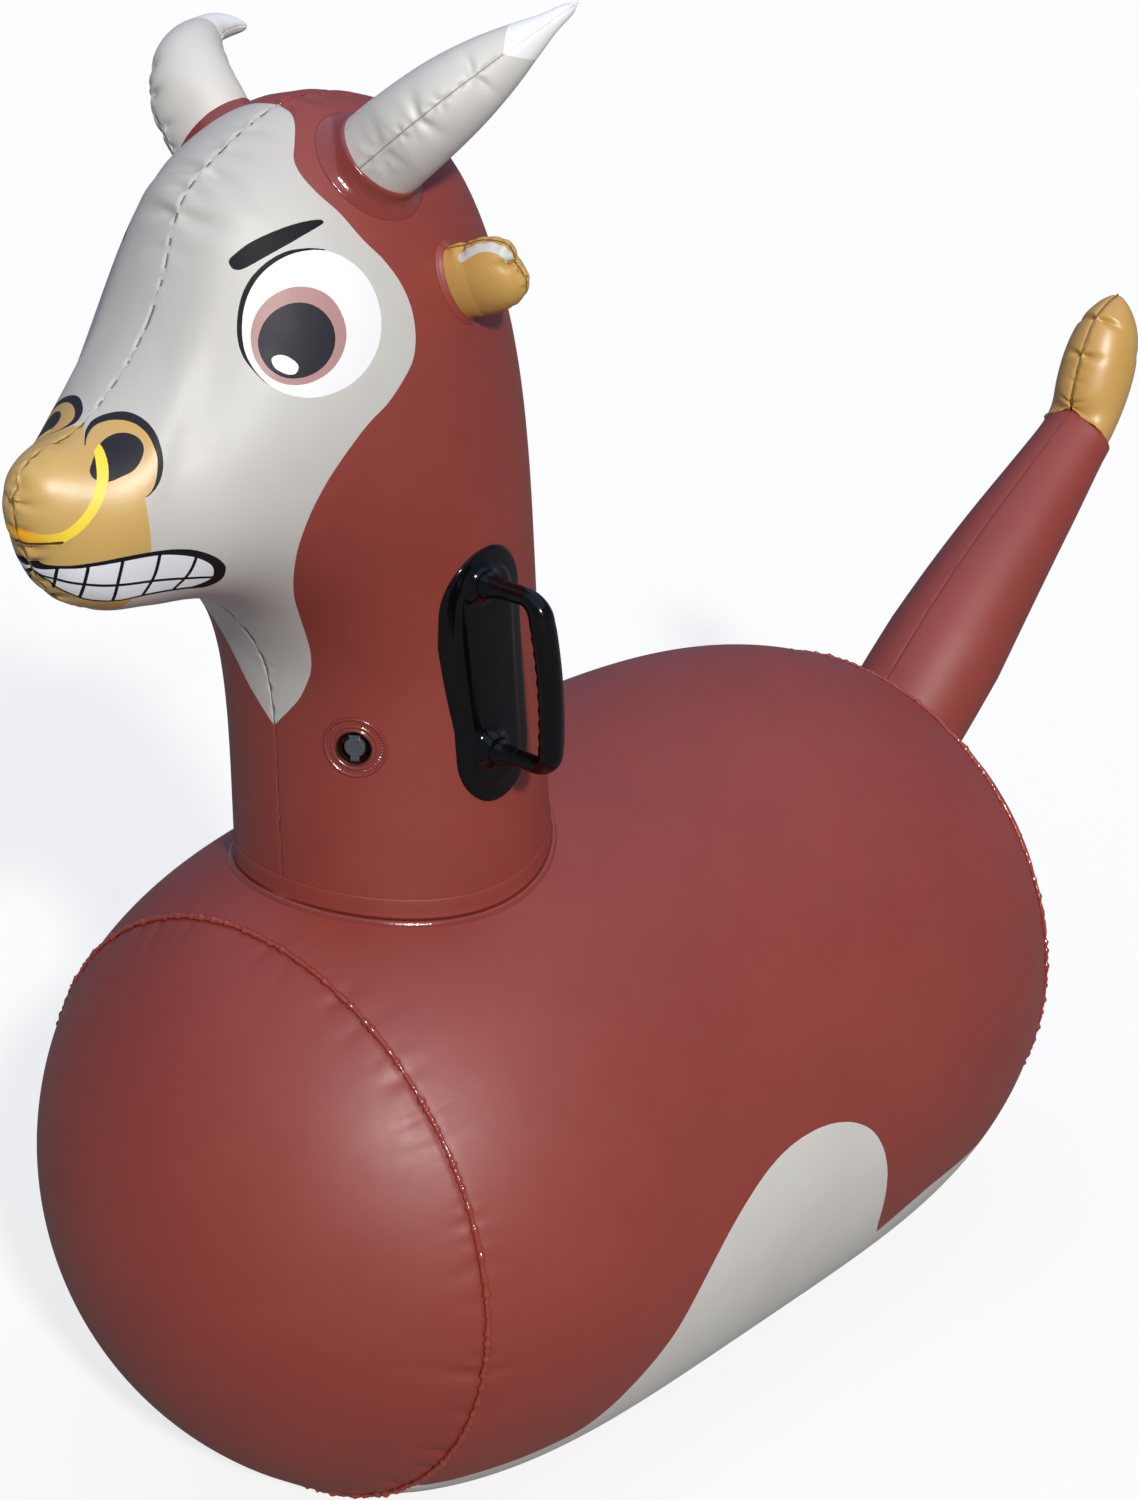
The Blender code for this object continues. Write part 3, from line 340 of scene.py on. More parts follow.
def blowUp(flat, closedTip):
    # pillow height of a flat panel, held at its edges and blown up
    rows, columns = flat.shape[:2]
    spots = flat.reshape(-1, 2)
    index = np.arange(rows * columns).reshape(rows, columns)
    a, b = index[:-1, :-1].ravel(), index[1:, :-1].ravel()
    d, c = index[:-1, 1:].ravel(), index[1:, 1:].ravel()
    both = (a, b, c), (a, c, d), (a, b, d), (b, c, d)  # each cell is cut both ways
    triangles = np.concatenate([np.stack(three, 1) for three in both])
    corner = spots[triangles]
    sides = np.stack([corner[:, (k + 2) % 3] - corner[:, (k + 1) % 3] for k in range(3)], 1)
    area = np.abs(sides[:, 0, 0] * sides[:, 1, 1] - sides[:, 0, 1] * sides[:, 1, 0]) / 2
    sound = area > 1e-11
    triangles, sides, area = triangles[sound], sides[sound], area[sound] / 2
    local = np.einsum("nik,njk->nij", sides, sides) / (16 * area)[:, None, None]
    stiff = np.zeros((len(spots), len(spots)))
    load = np.zeros(len(spots))
    for i in range(3):
        np.add.at(load, triangles[:, i], area / 3)
        for j in range(3):
            np.add.at(stiff, (triangles[:, i], triangles[:, j]), local[:, i, j])
    held = np.zeros((rows, columns), bool)
    held[:, 0] = held[:, -1] = True
    held[-1] |= closedTip
    free = ~held.ravel()
    rise = np.zeros(len(spots))
    rise[free] = np.linalg.solve(stiff[np.ix_(free, free)], load[free])
    return np.sqrt(2 * np.maximum(rise, 0)).reshape(rows, columns)


def panelNet(table, rows, columns, closedTip=True, edgeHalf=0.0003):
    # (along, across, half width) of one of a pair of blown panels, row places by edge length
    last, perRow, across = len(table) - 1, 5, 30  # a coarse net is blown up and then read finely
    coarse = np.linspace(0, last, perRow * last + 1)
    spread = (1 - np.cos(np.linspace(0, math.pi, across + 1))) / 2
    edges = smoothRows(table, coarse)
    flat = edges[:, None, 0:2] * (1 - spread)[None, :, None] + edges[:, None, 2:4] * spread[None, :, None]
    pillow = blowUp(flat, closedTip)
    fine = np.linspace(0, last, 4000)
    edges = smoothRows(table, fine)
    steps = np.max([np.hypot(*np.diff(edges[:, k:k + 2], axis=0).T) for k in (0, 2)], axis=0)
    length = np.concatenate([[0], np.cumsum(steps)])
    t = np.interp(np.linspace(0, length[-1], rows + 1), length, fine)
    edges = smoothRows(table, t)
    share = np.linspace(0, 1, columns + 1)
    angle = math.pi * (share - 0.11 * np.sin(math.tau * share))  # columns crowd towards the seams
    s = (1 - np.cos(angle)) / 2
    net = np.empty((rows + 1, columns + 1, 3))
    net[:, :, 0:2] = edges[:, None, 0:2] * (1 - s)[None, :, None] + edges[:, None, 2:4] * s[None, :, None]
    rowNo, columnNo = np.meshgrid(t * perRow, angle / math.pi * across, indexing="ij")
    half = readNet(pillow, rowNo.ravel(), columnNo.ravel()).reshape(rowNo.shape)
    net[:, :, 2] = np.maximum(half, 0) * edges[:, 4][:, None] + edgeHalf
    return net, t, np.degrees(angle)


def netPlace(line, rowOf, degreeOf):
    # an outline of (table row, degrees) as rows and columns of a net; past an edge it leaves the net
    line = np.asarray(line, float)
    row = np.interp(line[:, 0], rowOf, np.arange(len(rowOf)))
    row = np.where(line[:, 0] > rowOf[-1], len(rowOf) + 2, row)
    column = np.interp(line[:, 1], degreeOf, np.arange(len(degreeOf)), left=-2, right=len(degreeOf) + 1)
    return np.stack([row, column], 1)


def netNormals(net):
    normal = np.cross(*np.gradient(net, axis=(0, 1)))
    normal /= np.maximum(np.linalg.norm(normal, axis=2, keepdims=True), 1e-12)
    away = net - net.mean(axis=1, keepdims=True)
    return normal if (normal * away).sum() > 0 else -normal


def foldMarks(total, every, width, reach, depth, jitter=0.36):
    # seeded folds along a seam: place, width, reach, depth and slant of each
    count = max(2, round(total / every))
    place = (np.arange(count) + 0.5 + chance.uniform(-jitter, jitter, count)) * total / count
    width = width * chance.uniform(0.7, 1.4, count)
    reach = reach * chance.uniform(0.55, 1.5, count)
    depth = depth * chance.uniform(0.25, 1.3, count)
    return np.stack([place, width, reach, depth, chance.uniform(-0.35, 0.35, count)], 1)


def seamFolds(total, sizes):
    # wide folds and small nips along one seam
    return np.concatenate([foldMarks(total, *sizes["folds"]), foldMarks(total, *sizes["nips"])])


def foldDepth(along, away, marks, total=None):
    # a fold is pinched at the seam, deepest just beside it and fades as it opens out
    depth = np.zeros_like(along)
    for place, width, reach, deep, slant in marks:
        gap = along - place - slant * away
        if total:
            gap = (gap + total / 2) % total - total / 2
        rise = away / (0.3 * reach)
        wide = width * (0.55 + 0.9 * np.minimum(away / reach, 2))
        depth += deep * np.exp(-(gap / wide) ** 2) * rise * np.exp(1 - rise)
    return depth


def dashes(along, every, length):
    # 0 to 1 along a seam: the short pinches between two films
    count = max(2, round(along[-1] / every))
    place = (np.arange(count) + chance.uniform(0.2, 0.8, count)) * along[-1] / count
    half = length / 2 * chance.uniform(0.6, 1.3, count)
    return np.max([np.exp(-((along - p) / h) ** 4) for p, h in zip(place, half)], axis=0)[:, None]


def seamDistance(net, last):
    # how far along the seam at the first or last column a point lies, and how far away from it
    edge = net[:, -1] if last else net[:, 0]
    length = np.concatenate([[0], np.cumsum(np.linalg.norm(np.diff(edge, axis=0), axis=1))])
    ahead = np.gradient(edge, axis=0)
    ahead /= np.maximum(np.linalg.norm(ahead, axis=1, keepdims=True), 1e-9)
    along, away = np.empty(net.shape[:2]), np.empty(net.shape[:2])
    for column in range(net.shape[1]):
        near = ((net[:, None, column] - edge[None]) ** 2).sum(2).argmin(1)
        gap = net[:, column] - edge[near]
        forth = (gap * ahead[near]).sum(1)
        along[:, column] = length[near] + forth
        away[:, column] = np.linalg.norm(gap - forth[:, None] * ahead[near], axis=1)
    return along, away


def cutNet(rows, columns, outlines):
    # triangles over a net of rows and columns, with edges exactly along the printed outlines
    rowNo, columnNo = np.meshgrid(np.arange(rows + 1.0), np.arange(columns + 1.0), indexing="ij")
    keep = np.ones((rows + 1, columns + 1), bool)
    for line in outlines:
        ends = np.roll(line, -1, 0)
        for start, end in zip(line, ends):
            for share in np.linspace(0, 1, 2 + int(3 * np.abs(end - start).max())):
                spot = start + (end - start) * share
                low = np.floor(spot).astype(int)
                for i in (low[0], low[0] + 1):
                    for j in (low[1], low[1] + 1):
                        near = math.hypot(i - spot[0], j - spot[1]) < 0.42  # too close for a sound triangle
                        if near and 0 < i < rows and 0 < j < columns:
                            keep[i, j] = False
    spots = [Vector(p) for p in zip(rowNo[keep], columnNo[keep])]
    number = np.cumsum(keep.ravel()).reshape(keep.shape) - 1
    rim = [*number[:, 0], *number[-1, 1:], *number[-2::-1, -1], *number[0, -2:0:-1]]
    edges = [(int(a), int(b)) for a, b in zip(rim, rim[1:] + rim[:1])]
    for line in outlines:
        base = len(spots)
        spots.extend(Vector(p) for p in line)
        edges.extend((base + k, base + (k + 1) % len(line)) for k in range(len(line)))
    spots, _, faces = delaunay_2d_cdt(spots, edges, [], 0, 1e-5)[:3]
    spots, faces = np.array([tuple(p) for p in spots]), np.array(faces)
    middle = spots[faces].mean(1)
    inside = (middle[:, 0] > 0) & (middle[:, 0] < rows) & (middle[:, 1] > 0) & (middle[:, 1] < columns)
    faces, middle = faces[inside], middle[inside]
    ink = np.zeros(len(faces), int)
    for layer, line in enumerate(outlines):
        hit = np.zeros(len(faces), bool)
        for (ax, ay), (bx, by) in zip(line, np.roll(line, -1, 0)):
            if ay != by:
                over = (ay > middle[:, 1]) != (by > middle[:, 1])
                hit ^= over & (middle[:, 0] < (bx - ax) * (middle[:, 1] - ay) / (by - ay) + ax)
        ink[hit] = layer + 1
    return spots, faces, ink


def thicken(piece, wall):
    shell = piece.modifiers.new("wall", "SOLIDIFY")
    shell.thickness = wall
    shell.offset = -1.0
    bpy.ops.object.modifier_apply(modifier="wall")


def sheetPiece(net, outlines=(), finishes=(), wall=filmWall):
    # a skin through a net, printed where outlines are given; finishes[0] is the ground
    rows, columns = net.shape[0] - 1, net.shape[1] - 1
    deselectAll()
    if len(outlines):
        spots, faces, ink = cutNet(rows, columns, outlines)
        mesh = bpy.data.meshes.new("sheet")
        mesh.from_pydata([(0, 0, 0)] * len(spots), [], faces.tolist())
        piece = addObject("sheet", mesh)
        mesh.polygons.foreach_set("material_index", ink.astype(np.int32))
        row, column = np.clip(spots[:, 0], 0, rows), np.clip(spots[:, 1], 0, columns)
    else:
        bpy.ops.mesh.primitive_grid_add(x_subdivisions=columns, y_subdivisions=rows, size=2)
        piece = bpy.context.object
        flat = np.empty(len(piece.data.vertices) * 3)
        piece.data.vertices.foreach_get("co", flat)
        flat = flat.reshape(-1, 3)
        row, column = (flat[:, 1] + 1) / 2 * rows, (flat[:, 0] + 1) / 2 * columns
    place = np.stack([readNet(net[:, :, k], row, column) for k in range(3)], 1)
    piece.data.vertices.foreach_set("co", place.ravel())
    piece.data.update()
    core = net.mean(axis=1)
    outward = place - np.stack([np.interp(row, np.arange(rows + 1), core[:, k]) for k in range(3)], 1)
    lean = sum(face.normal.dot(Vector(outward[face.vertices[0]])) * face.area
               for face in piece.data.polygons)
    workOn(piece)
    bpy.ops.object.mode_set(mode="EDIT")
    bpy.ops.mesh.select_all(action="SELECT")
    if lean < 0:
        bpy.ops.mesh.flip_normals()
    bpy.ops.mesh.remove_doubles(threshold=0.00002)
    bpy.ops.object.mode_set(mode="OBJECT")
    if wall:
        thicken(piece, wall)
    for finish in finishes:
        piece.data.materials.append(finish)
    bpy.ops.object.shade_smooth()
    return piece


def settle(piece, name, body, slot, *nodes):
    # last step for every piece: its name, its body and the CAD nodes it stands for
    piece.name = name
    piece.data.name = name
    workOn(piece)
    bpy.ops.object.transform_apply(location=True, rotation=True, scale=True)
    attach(piece, body)
    if nodes:
        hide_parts(*nodes)
    return piece


def weldBead(points, radius, closed, finish, lump=0.0, sides=10, swell=1.0):
    # a bead of melted film along a line, with seeded lumps
    deselectAll()
    line = bpy.data.curves.new("bead", "CURVE")
    line.dimensions = "3D"
    line.bevel_depth = radius
    line.bevel_resolution = sides // 2 - 2
    line.use_fill_caps = not closed
    path = line.splines.new("POLY")
    path.points.add(len(points) - 1)
    path.points.foreach_set("co", np.hstack([points, np.ones((len(points), 1))]).ravel())
    swell = swell + lump * np.convolve(chance.uniform(-1, 1, len(points)), [0.25, 0.5, 0.25], "same")
    path.points.foreach_set("radius", swell)
    path.use_cyclic_u = closed
    piece = addObject("bead", line)
    bpy.ops.object.convert(target="MESH")
    piece.data.materials.clear()
    piece.data.materials.append(finish)
    bpy.ops.object.mode_set(mode="EDIT")
    cleanMesh()
    bpy.ops.object.shade_smooth()
    return piece


def paintBead(piece, line, chosen, finish):
    # gives the chosen points' stretch of a bead a second finish
    piece.data.materials.append(finish)
    for face in piece.data.polygons:
        face.material_index = int(chosen[((line - np.array(face.center)) ** 2).sum(1).argmin()])


def pairSeam(sheets):
    # the line where two panels meet, up their first edge and down their last
    middle = (sheets[0] + sheets[1]) / 2
    return np.concatenate([middle[1:, 0], middle[-2:0:-1, -1]])


def pairFoot(sheets):
    # the open edge round the foot of two panels
    return np.concatenate([sheets[0][0, :-1], sheets[1][0, ::-1][:-1]])


def treeOf(*nets):
    spots, faces = [], []
    for net in nets:
        rows, columns = net.shape[:2]
        index = np.arange(rows * columns).reshape(rows, columns) + len(spots)
        spots.extend(map(Vector, net.reshape(-1, 3)))
        quads = np.stack([index[:-1, :-1], index[1:, :-1], index[1:, 1:], index[:-1, 1:]], -1)
        faces.extend(quads.reshape(-1, 4).tolist())
    return BVHTree.FromPolygons(spots, faces)


def landOn(tree, net, way, fromRow, gap=0.0004):
    # stretches the foot of a net along way until it meets the skin that it stands on
    way = Vector(way).normalized()
    for column in range(net.shape[1]):
        hit = tree.ray_cast(Vector(net[fromRow, column]), way)[0]
        if hit is not None:
            shift = np.array(hit - way * gap) - net[0, column]
            net[:fromRow, column] += shift * (1 - np.arange(fromRow) / fromRow)[:, None]


# barrel and end caps; the belly print is in y in mm and degrees up from the bottom line
barrel = dict(
    radius=0.240, seamRadius=0.202, seamY=0.307, shoulder=4.2, capSlope=math.radians(58), around=400,
    rows=88, capRows=56, seamGap=0.0007, beadRadius=0.0018, folds=(0.032, 0.0040, 0.022, 0.0022),
    nips=(0.0110, 0.0020, 0.008, 0.0010), barrelShare=0.45, beadPoints=1000,
    foldTurns=([-180, -100, -70, -40, 0, 40, 70, 100, 180], [0.5, 0.4, 0.8, 1.1, 0.9, 1.2, 0.9, 0.4, 0.5]),
    groove=0.0012, grooveWidth=0.0026, specks=(0.060, 0.014), scallop=0.35, scallopAway=0.011,
    scallopReach=0.012, foldEnd=0.15, rowCrowd=1.7, beadOut=0.0003, beadWander=0.0004, beadLump=0.42,
    beadSwell=(0.9, 0.45), beadLift=1.2, restGap=0.0003, restSoft=0.004,
    belly=[(-310, 38), (-291, 40), (-270, 45.5), (-229, 50.2), (-202, 53.1), (-187, 58.4), (-177, 63.1),
           (-165, 68.1), (-154, 72.9), (-142, 79.1), (-131, 83.6), (-116, 88.1), (-99, 91.7), (-78, 94.8),
           (-57, 96.5), (-36, 97), (-14, 96.6), (8, 95.1), (27, 92.7), (42, 89.6), (54, 85.5), (63, 80.9),
           (69, 76.6), (75, 71.4), (83, 65.5), (93, 61), (93, 61), (127, 63.8), (161, 65), (218, 63.4),
           (270, 59), (310, 54)])


def barrelRadius(y):
    drop = np.abs(y / barrel["seamY"]) ** barrel["shoulder"]
    return barrel["radius"] - (barrel["radius"] - barrel["seamRadius"]) * drop


def restFlat(net):
    # the skin flattens on the floor, with a soft shoulder
    z = net[:, :, 2]
    low = -axisHeight + barrel["restGap"]
    soft = barrel["restSoft"]
    bend = np.clip((z - low + soft) / (2 * soft), 0, 1)
    net[:, :, 2] = np.where(z < low + soft, low + soft * bend ** 2, z)
    net[:, :, 2] += axisHeight


seamRound = math.tau * barrel["seamRadius"]
endFolds = {side: seamFolds(seamRound, barrel) for side in ("front", "rear")}
seamTurn = np.linspace(-math.pi, math.pi, barrel["around"] + 1)  # 0 is the bottom line
seamScallop = {}  # the seam itself waves a little with the folds
for side in ("front", "rear"):
    along = (seamTurn + math.pi) * barrel["seamRadius"]
    away = np.full_like(along, barrel["scallopAway"])
    seamScallop[side] = barrel["scallop"] * foldDepth(along, away, endFolds[side], seamRound)
    seamScallop[side] -= seamScallop[side].mean()

step = np.linspace(-1, 1, barrel["rows"] + 1)
ys = (barrel["seamY"] - barrel["seamGap"]) * np.sin(step * math.pi / 2)
turn, along = np.meshgrid(seamTurn, ys)
radius = barrelRadius(along)
for side, sign in (("front", -1), ("rear", 1)):
    away = np.abs(sign * barrel["seamY"] - along)
    folds = foldDepth((turn + math.pi) * barrel["seamRadius"], away, endFolds[side], seamRound)
    folds = folds * np.interp(np.degrees(turn), *barrel["foldTurns"])  # deepest low on the flanks
    wave = seamScallop[side][None, :] * np.exp(-away / barrel["scallopReach"])
    radius = radius - barrel["barrelShare"] * folds * (away < barrel["foldEnd"]) - wave
    radius = radius - barrel["groove"] * np.exp(-(away / barrel["grooveWidth"]) ** 2)
barrelNet = np.stack([radius * np.sin(turn), along, -radius * np.cos(turn)], -1)
restFlat(barrelNet)
bellyLine = np.array(barrel["belly"], float)
rearEnd, frontEnd = ((310, 20), (310, -20)), ((-310, -20), (-310, 20))
bellyLine = smoothLoop(np.vstack([bellyLine, rearEnd, bellyLine[::-1] * (1, -1), frontEnd]))
bellyRow = np.interp(bellyLine[:, 0] / 1000, ys, np.arange(len(ys)), left=-2, right=len(ys) + 1)
bellyColumn = (bellyLine[:, 1] + 180) / 360 * barrel["around"]
# painted light: the belly is the face's grey print, given this lighter pale film for its shaded underside
piece = sheetPiece(barrelNet, [np.stack([bellyRow, bellyColumn], 1)], (brownFilm, paleFilmAndLitBelly))
settle(piece, "barrelSkin", "bull", "brown_pvc", "barrel_panel")

capNets = {}
for side, sign in (("front", -1), ("rear", 1)):
    # rows crowd at the seam
    slope = barrel["capSlope"] * (1 - np.linspace(0, 1, barrel["capRows"] + 1) ** barrel["rowCrowd"])
    ball = barrel["seamRadius"] / math.sin(barrel["capSlope"])
    turn, slope = np.meshgrid(seamTurn, slope)
    away = ball * (barrel["capSlope"] - slope)
    press = foldDepth((turn + math.pi) * barrel["seamRadius"], away, endFolds[side], seamRound)
    press = press * np.interp(np.degrees(turn), *barrel["foldTurns"])
    press = press + seamScallop[side][None, :] * np.exp(-away / barrel["scallopReach"])
    press = press + barrel["groove"] * np.exp(-(away / barrel["grooveWidth"]) ** 2)
    radius = (ball - press) * np.sin(slope)
    rise = ball * (np.cos(slope) - math.cos(barrel["capSlope"])) - press * np.cos(slope)
    outward = sign * (barrel["seamY"] + barrel["seamGap"] + rise)
    net = np.stack([radius * np.sin(turn), outward, -radius * np.cos(turn)], -1)
    restFlat(net)
    capNets[side] = net
    settle(sheetPiece(net, (), (brownFilm,)), side + "CapSkin", "bull", "brown_pvc", side + "_cap")
    beadTurn = np.linspace(-math.pi, math.pi, barrel["beadPoints"], endpoint=False)
    ring = barrel["seamRadius"] + barrel["beadOut"] - np.interp(beadTurn, seamTurn, seamScallop[side])
    wander = np.convolve(chance.uniform(-1, 1, len(ring)), np.ones(9) / 5, "same")
    wander = barrel["beadWander"] * wander + sign * barrel["seamY"]
    line = np.stack([ring * np.sin(beadTurn), wander, -ring * np.cos(beadTurn) + axisHeight], 1)
    line[:, 2] = np.maximum(line[:, 2], barrel["beadRadius"] * barrel["beadLift"])
    specks = dashes(beadTurn - beadTurn[0], *barrel["specks"])[:, 0]
    swell = barrel["beadSwell"][0] + barrel["beadSwell"][1] * specks
    piece = weldBead(line, barrel["beadRadius"], True, beadFilm, barrel["beadLump"], 10, swell)
    settle(piece, side + "CapBead", "bull", "brown_pvc", side + "_cap_weld")
print("barrel: skin with belly print, caps and seam beads")


# neck and head: under or front edge, top or back edge (y, height above the barrel's axis), fullness
head = dict(
    rows=[(-0.277, 0.200, -0.076, 0.200, 1.04), (-0.277, 0.250, -0.076, 0.250, 1.04),
          (-0.278, 0.320, -0.084, 0.330, 1.02), (-0.282, 0.364, -0.090, 0.410, 0.99),
          (-0.292, 0.391, -0.094, 0.480, 0.96), (-0.312, 0.417, -0.100, 0.550, 0.93),
          (-0.334, 0.434, -0.117, 0.620, 0.91), (-0.353, 0.441, -0.140, 0.672, 0.90),
          (-0.372, 0.445, -0.180, 0.706, 0.90), (-0.387, 0.446, -0.249, 0.719, 0.90),
          (-0.402, 0.448, -0.3075, 0.7005, 0.90), (-0.416, 0.450, -0.3405, 0.677, 0.90),
          (-0.430, 0.455, -0.3585, 0.641, 0.90), (-0.442, 0.462, -0.3745, 0.608, 0.88),
          (-0.453, 0.472, -0.397, 0.580, 0.85), (-0.462, 0.484, -0.425, 0.559, 0.82),
          (-0.469, 0.499, -0.452, 0.553, 0.80), (-0.4735, 0.514, -0.467, 0.545, 0.80),
          (-0.475, 0.530, -0.475, 0.530, 0.80)], netRows=430, netColumns=88, groove=0.0010,
    grooveWidth=0.0013, neckGroove=0.0004, pinch=(0.0125, 0.0085), folds=(0.026, 0.0042, 0.018, 0.0014),
    nips=(0.0105, 0.0018, 0.007, 0.0007), muzzleFolds=(0.012, 0.0026, 0.009, 0.0015),
    chinFolds=(0.013, 0.0030, 0.014, 0.0040), muzzleFrom=14.0, chinFrom=11.5, muzzleFade=1.5,
    muzzleReach=0.03, muzzleEase=(13, 3), muzzleBack=0.0035, bridge=(12.0, 3.0), bridgeBlur=9.0,
    bellHalf=20, cellSize=0.002, cellPad=40, bridgeInner=(0.020, 0.040), footGap=0.0005, saddleTop=0.250,
    seamLength=1.3, seamGap=0.00012, neckRows=(2.0, 0.5), grooveLeast=0.05, beadRadius=0.0004,
    beadLump=0.25, beadSwell=(0.14, 1.35), leastShift=0.00005, wanderReach=0.030, wanderRows=25,
    seamJog=0.0011, jogEvery=0.0125, jogFrom=(8.6, 0.6), jogTo=(14.0, 1.5), jogReach=0.005,
    seamWander=([8.5, 9.4, 10.4, 11.4, 12.5, 13.3, 14.0, 14.6],
                [0, 0.0065, 0.0070, 0.0060, 0.0080, 0.0065, 0.0030, 0]),
    browFolds=[(8.45, 0.0030, 0.016, 0.0022, 0.0), (8.70, 0.0028, 0.014, 0.0024, 0.1),
               (8.92, 0.0030, 0.015, 0.0022, 0.0), (9.20, 0.0034, 0.018, 0.0018, 0.1),
               (9.63, 0.0040, 0.020, 0.0016, 0.0), (10.02, 0.0040, 0.022, 0.0018, -0.1),
               (10.46, 0.0050, 0.038, 0.0040, 0.05), (10.86, 0.0040, 0.018, 0.0014, 0.1),
               (11.27, 0.0050, 0.034, 0.0036, 0.0), (11.75, 0.0045, 0.026, 0.0008, 0.1)],
    topCalm=([0, 8, 8.6, 9.2, 11.4, 12.2, 14, 19], [0.15, 0.15, 1.0, 0.55, 0.55, 0.12, 0.12, 1.0]),
    underCalm=([0, 2, 8, 11, 14], [0.12, 0.12, 0.25, 0.5, 1.0]))
